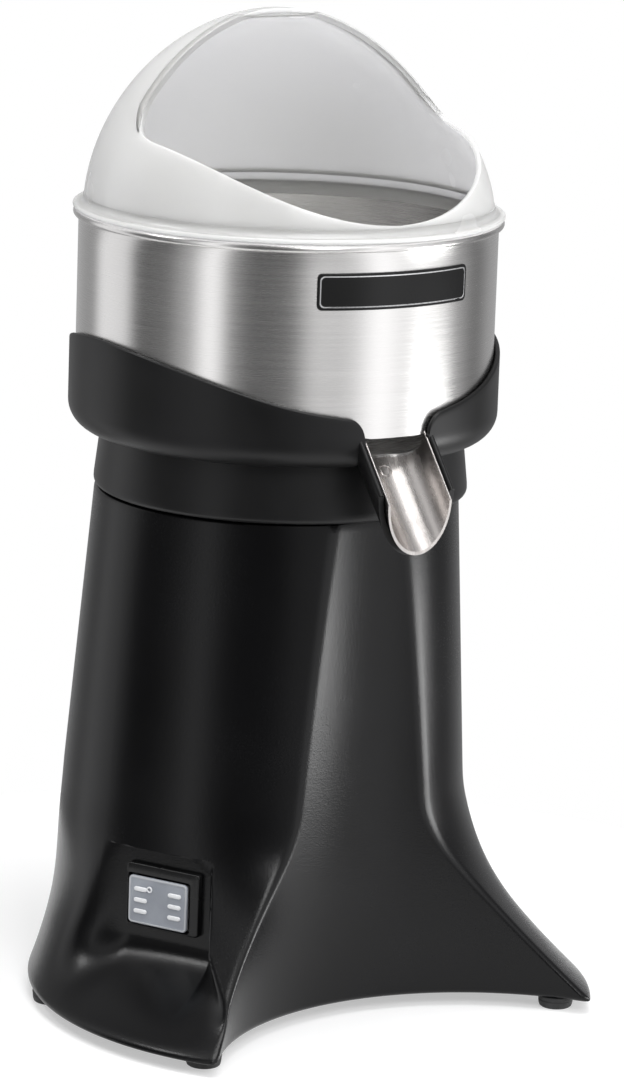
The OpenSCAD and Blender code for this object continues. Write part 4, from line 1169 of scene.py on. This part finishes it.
def room():
    """The world: bands of light that only the object sees, and plain white for the camera."""
    world = bpy.context.scene.world or bpy.data.worlds.new("studio")
    bpy.context.scene.world = world
    world.use_nodes = True
    nodes = NodeTree(world.node_tree)
    nodes.tree.nodes.clear()
    split = nodes.node("ShaderNodeSeparateXYZ")
    nodes.link(nodes.node("ShaderNodeTexCoord").outputs["Generated"], split.inputs[0])
    turn = nodes.math("ARCTAN2", split.outputs[0], split.outputs[1])
    ramp = nodes.node("ShaderNodeValToRGB")
    ramp.color_ramp.interpolation = "EASE"
    stops = sorted((band_place(degrees), level) for degrees, level in STUDIO_BANDS)
    elements = ramp.color_ramp.elements
    while len(elements) < len(stops):
        elements.new(0.5)
    for element, (place, level) in zip(elements, stops):
        element.position = place
        element.color = (level, level, level * 1.01, 1)
    nodes.link(nodes.ranged(turn, 0.0, 1.0, -math.pi, math.pi), ramp.inputs["Fac"])
    light = nodes.node("ShaderNodeBackground", Strength=0.95)
    nodes.link(ramp.outputs["Color"], light.inputs["Color"])
    seen = nodes.node("ShaderNodeBackground", Color=(1, 1, 1, 1), Strength=1.0)
    mix = nodes.node("ShaderNodeMixShader")
    camera_ray = nodes.node("ShaderNodeLightPath").outputs["Is Camera Ray"]
    for out, socket in zip((camera_ray, light.outputs[0], seen.outputs[0]), mix.inputs):
        nodes.link(out, socket)
    nodes.link(mix.outputs[0], nodes.node("ShaderNodeOutputWorld").inputs[0])


def soft_box(name, place, target, width, height, power):
    data = bpy.data.lights.new(name, "AREA")
    data.shape, data.size, data.size_y, data.energy = "RECTANGLE", width, height, power
    obj = bpy.data.objects.new(name, data)
    obj.location = place
    obj.rotation_euler = (Vector(target) - Vector(place)).to_track_quat("-Z", "Y").to_euler()
    obj.visible_camera = False
    bpy.context.scene.collection.objects.link(obj)


def photo_camera():
    """The camera as solved from the photo's level circles: its place, where it looks and its lens."""
    yaw, pitch, roll = 0.00732, 0.2212, 0.03472
    away, height = 2.2, 0.7104
    to_room = Matrix.Rotation(-CAMERA_TURN, 3, "Z")
    level = math.cos(pitch)
    forward = to_room @ Vector((math.sin(yaw) * level, math.cos(yaw) * level, -math.sin(pitch)))
    right = to_room @ Vector((math.cos(yaw), -math.sin(yaw), 0))
    up = right.cross(forward)
    rolled_right = math.cos(roll) * right + math.sin(roll) * up
    rolled_up = math.cos(roll) * up - math.sin(roll) * right
    data = bpy.data.cameras.new("camera")
    data.sensor_width, data.lens, data.clip_end = 36.0, 157.2, 50
    camera = bpy.data.objects.new("camera", data)
    place = to_room @ Vector((0, -away, height)) + Vector((0, AXIS_Y * MM, 0))
    facing = Matrix((rolled_right, rolled_up, -forward)).transposed().to_4x4()
    camera.matrix_world = Matrix.Translation(place) @ facing
    bpy.context.scene.collection.objects.link(camera)
    bpy.context.scene.camera = camera


stage()
room()
bpy.context.scene.view_settings.view_transform = "Standard"
soft_box("top_box", (0.0, -0.3, 2.2), (0, 0, 0.2), 1.2, 1.2, 26)
soft_box("mouth_box", (-0.4, -1.7, 1.5), (0, 0.05, 0.42), 0.7, 0.7, 14)
soft_box("rear_box", (-0.86, 0.5, 1.45), (-0.12, -0.06, 0.02), 0.28, 0.28, 4)
# a low strip to the right of the camera, which only the front hollow mirrors
soft_box("strip_box", (0.414, -0.299, 0.06), (0, 0, 0.12), 0.26, 0.16, 1.3)
photo_camera()
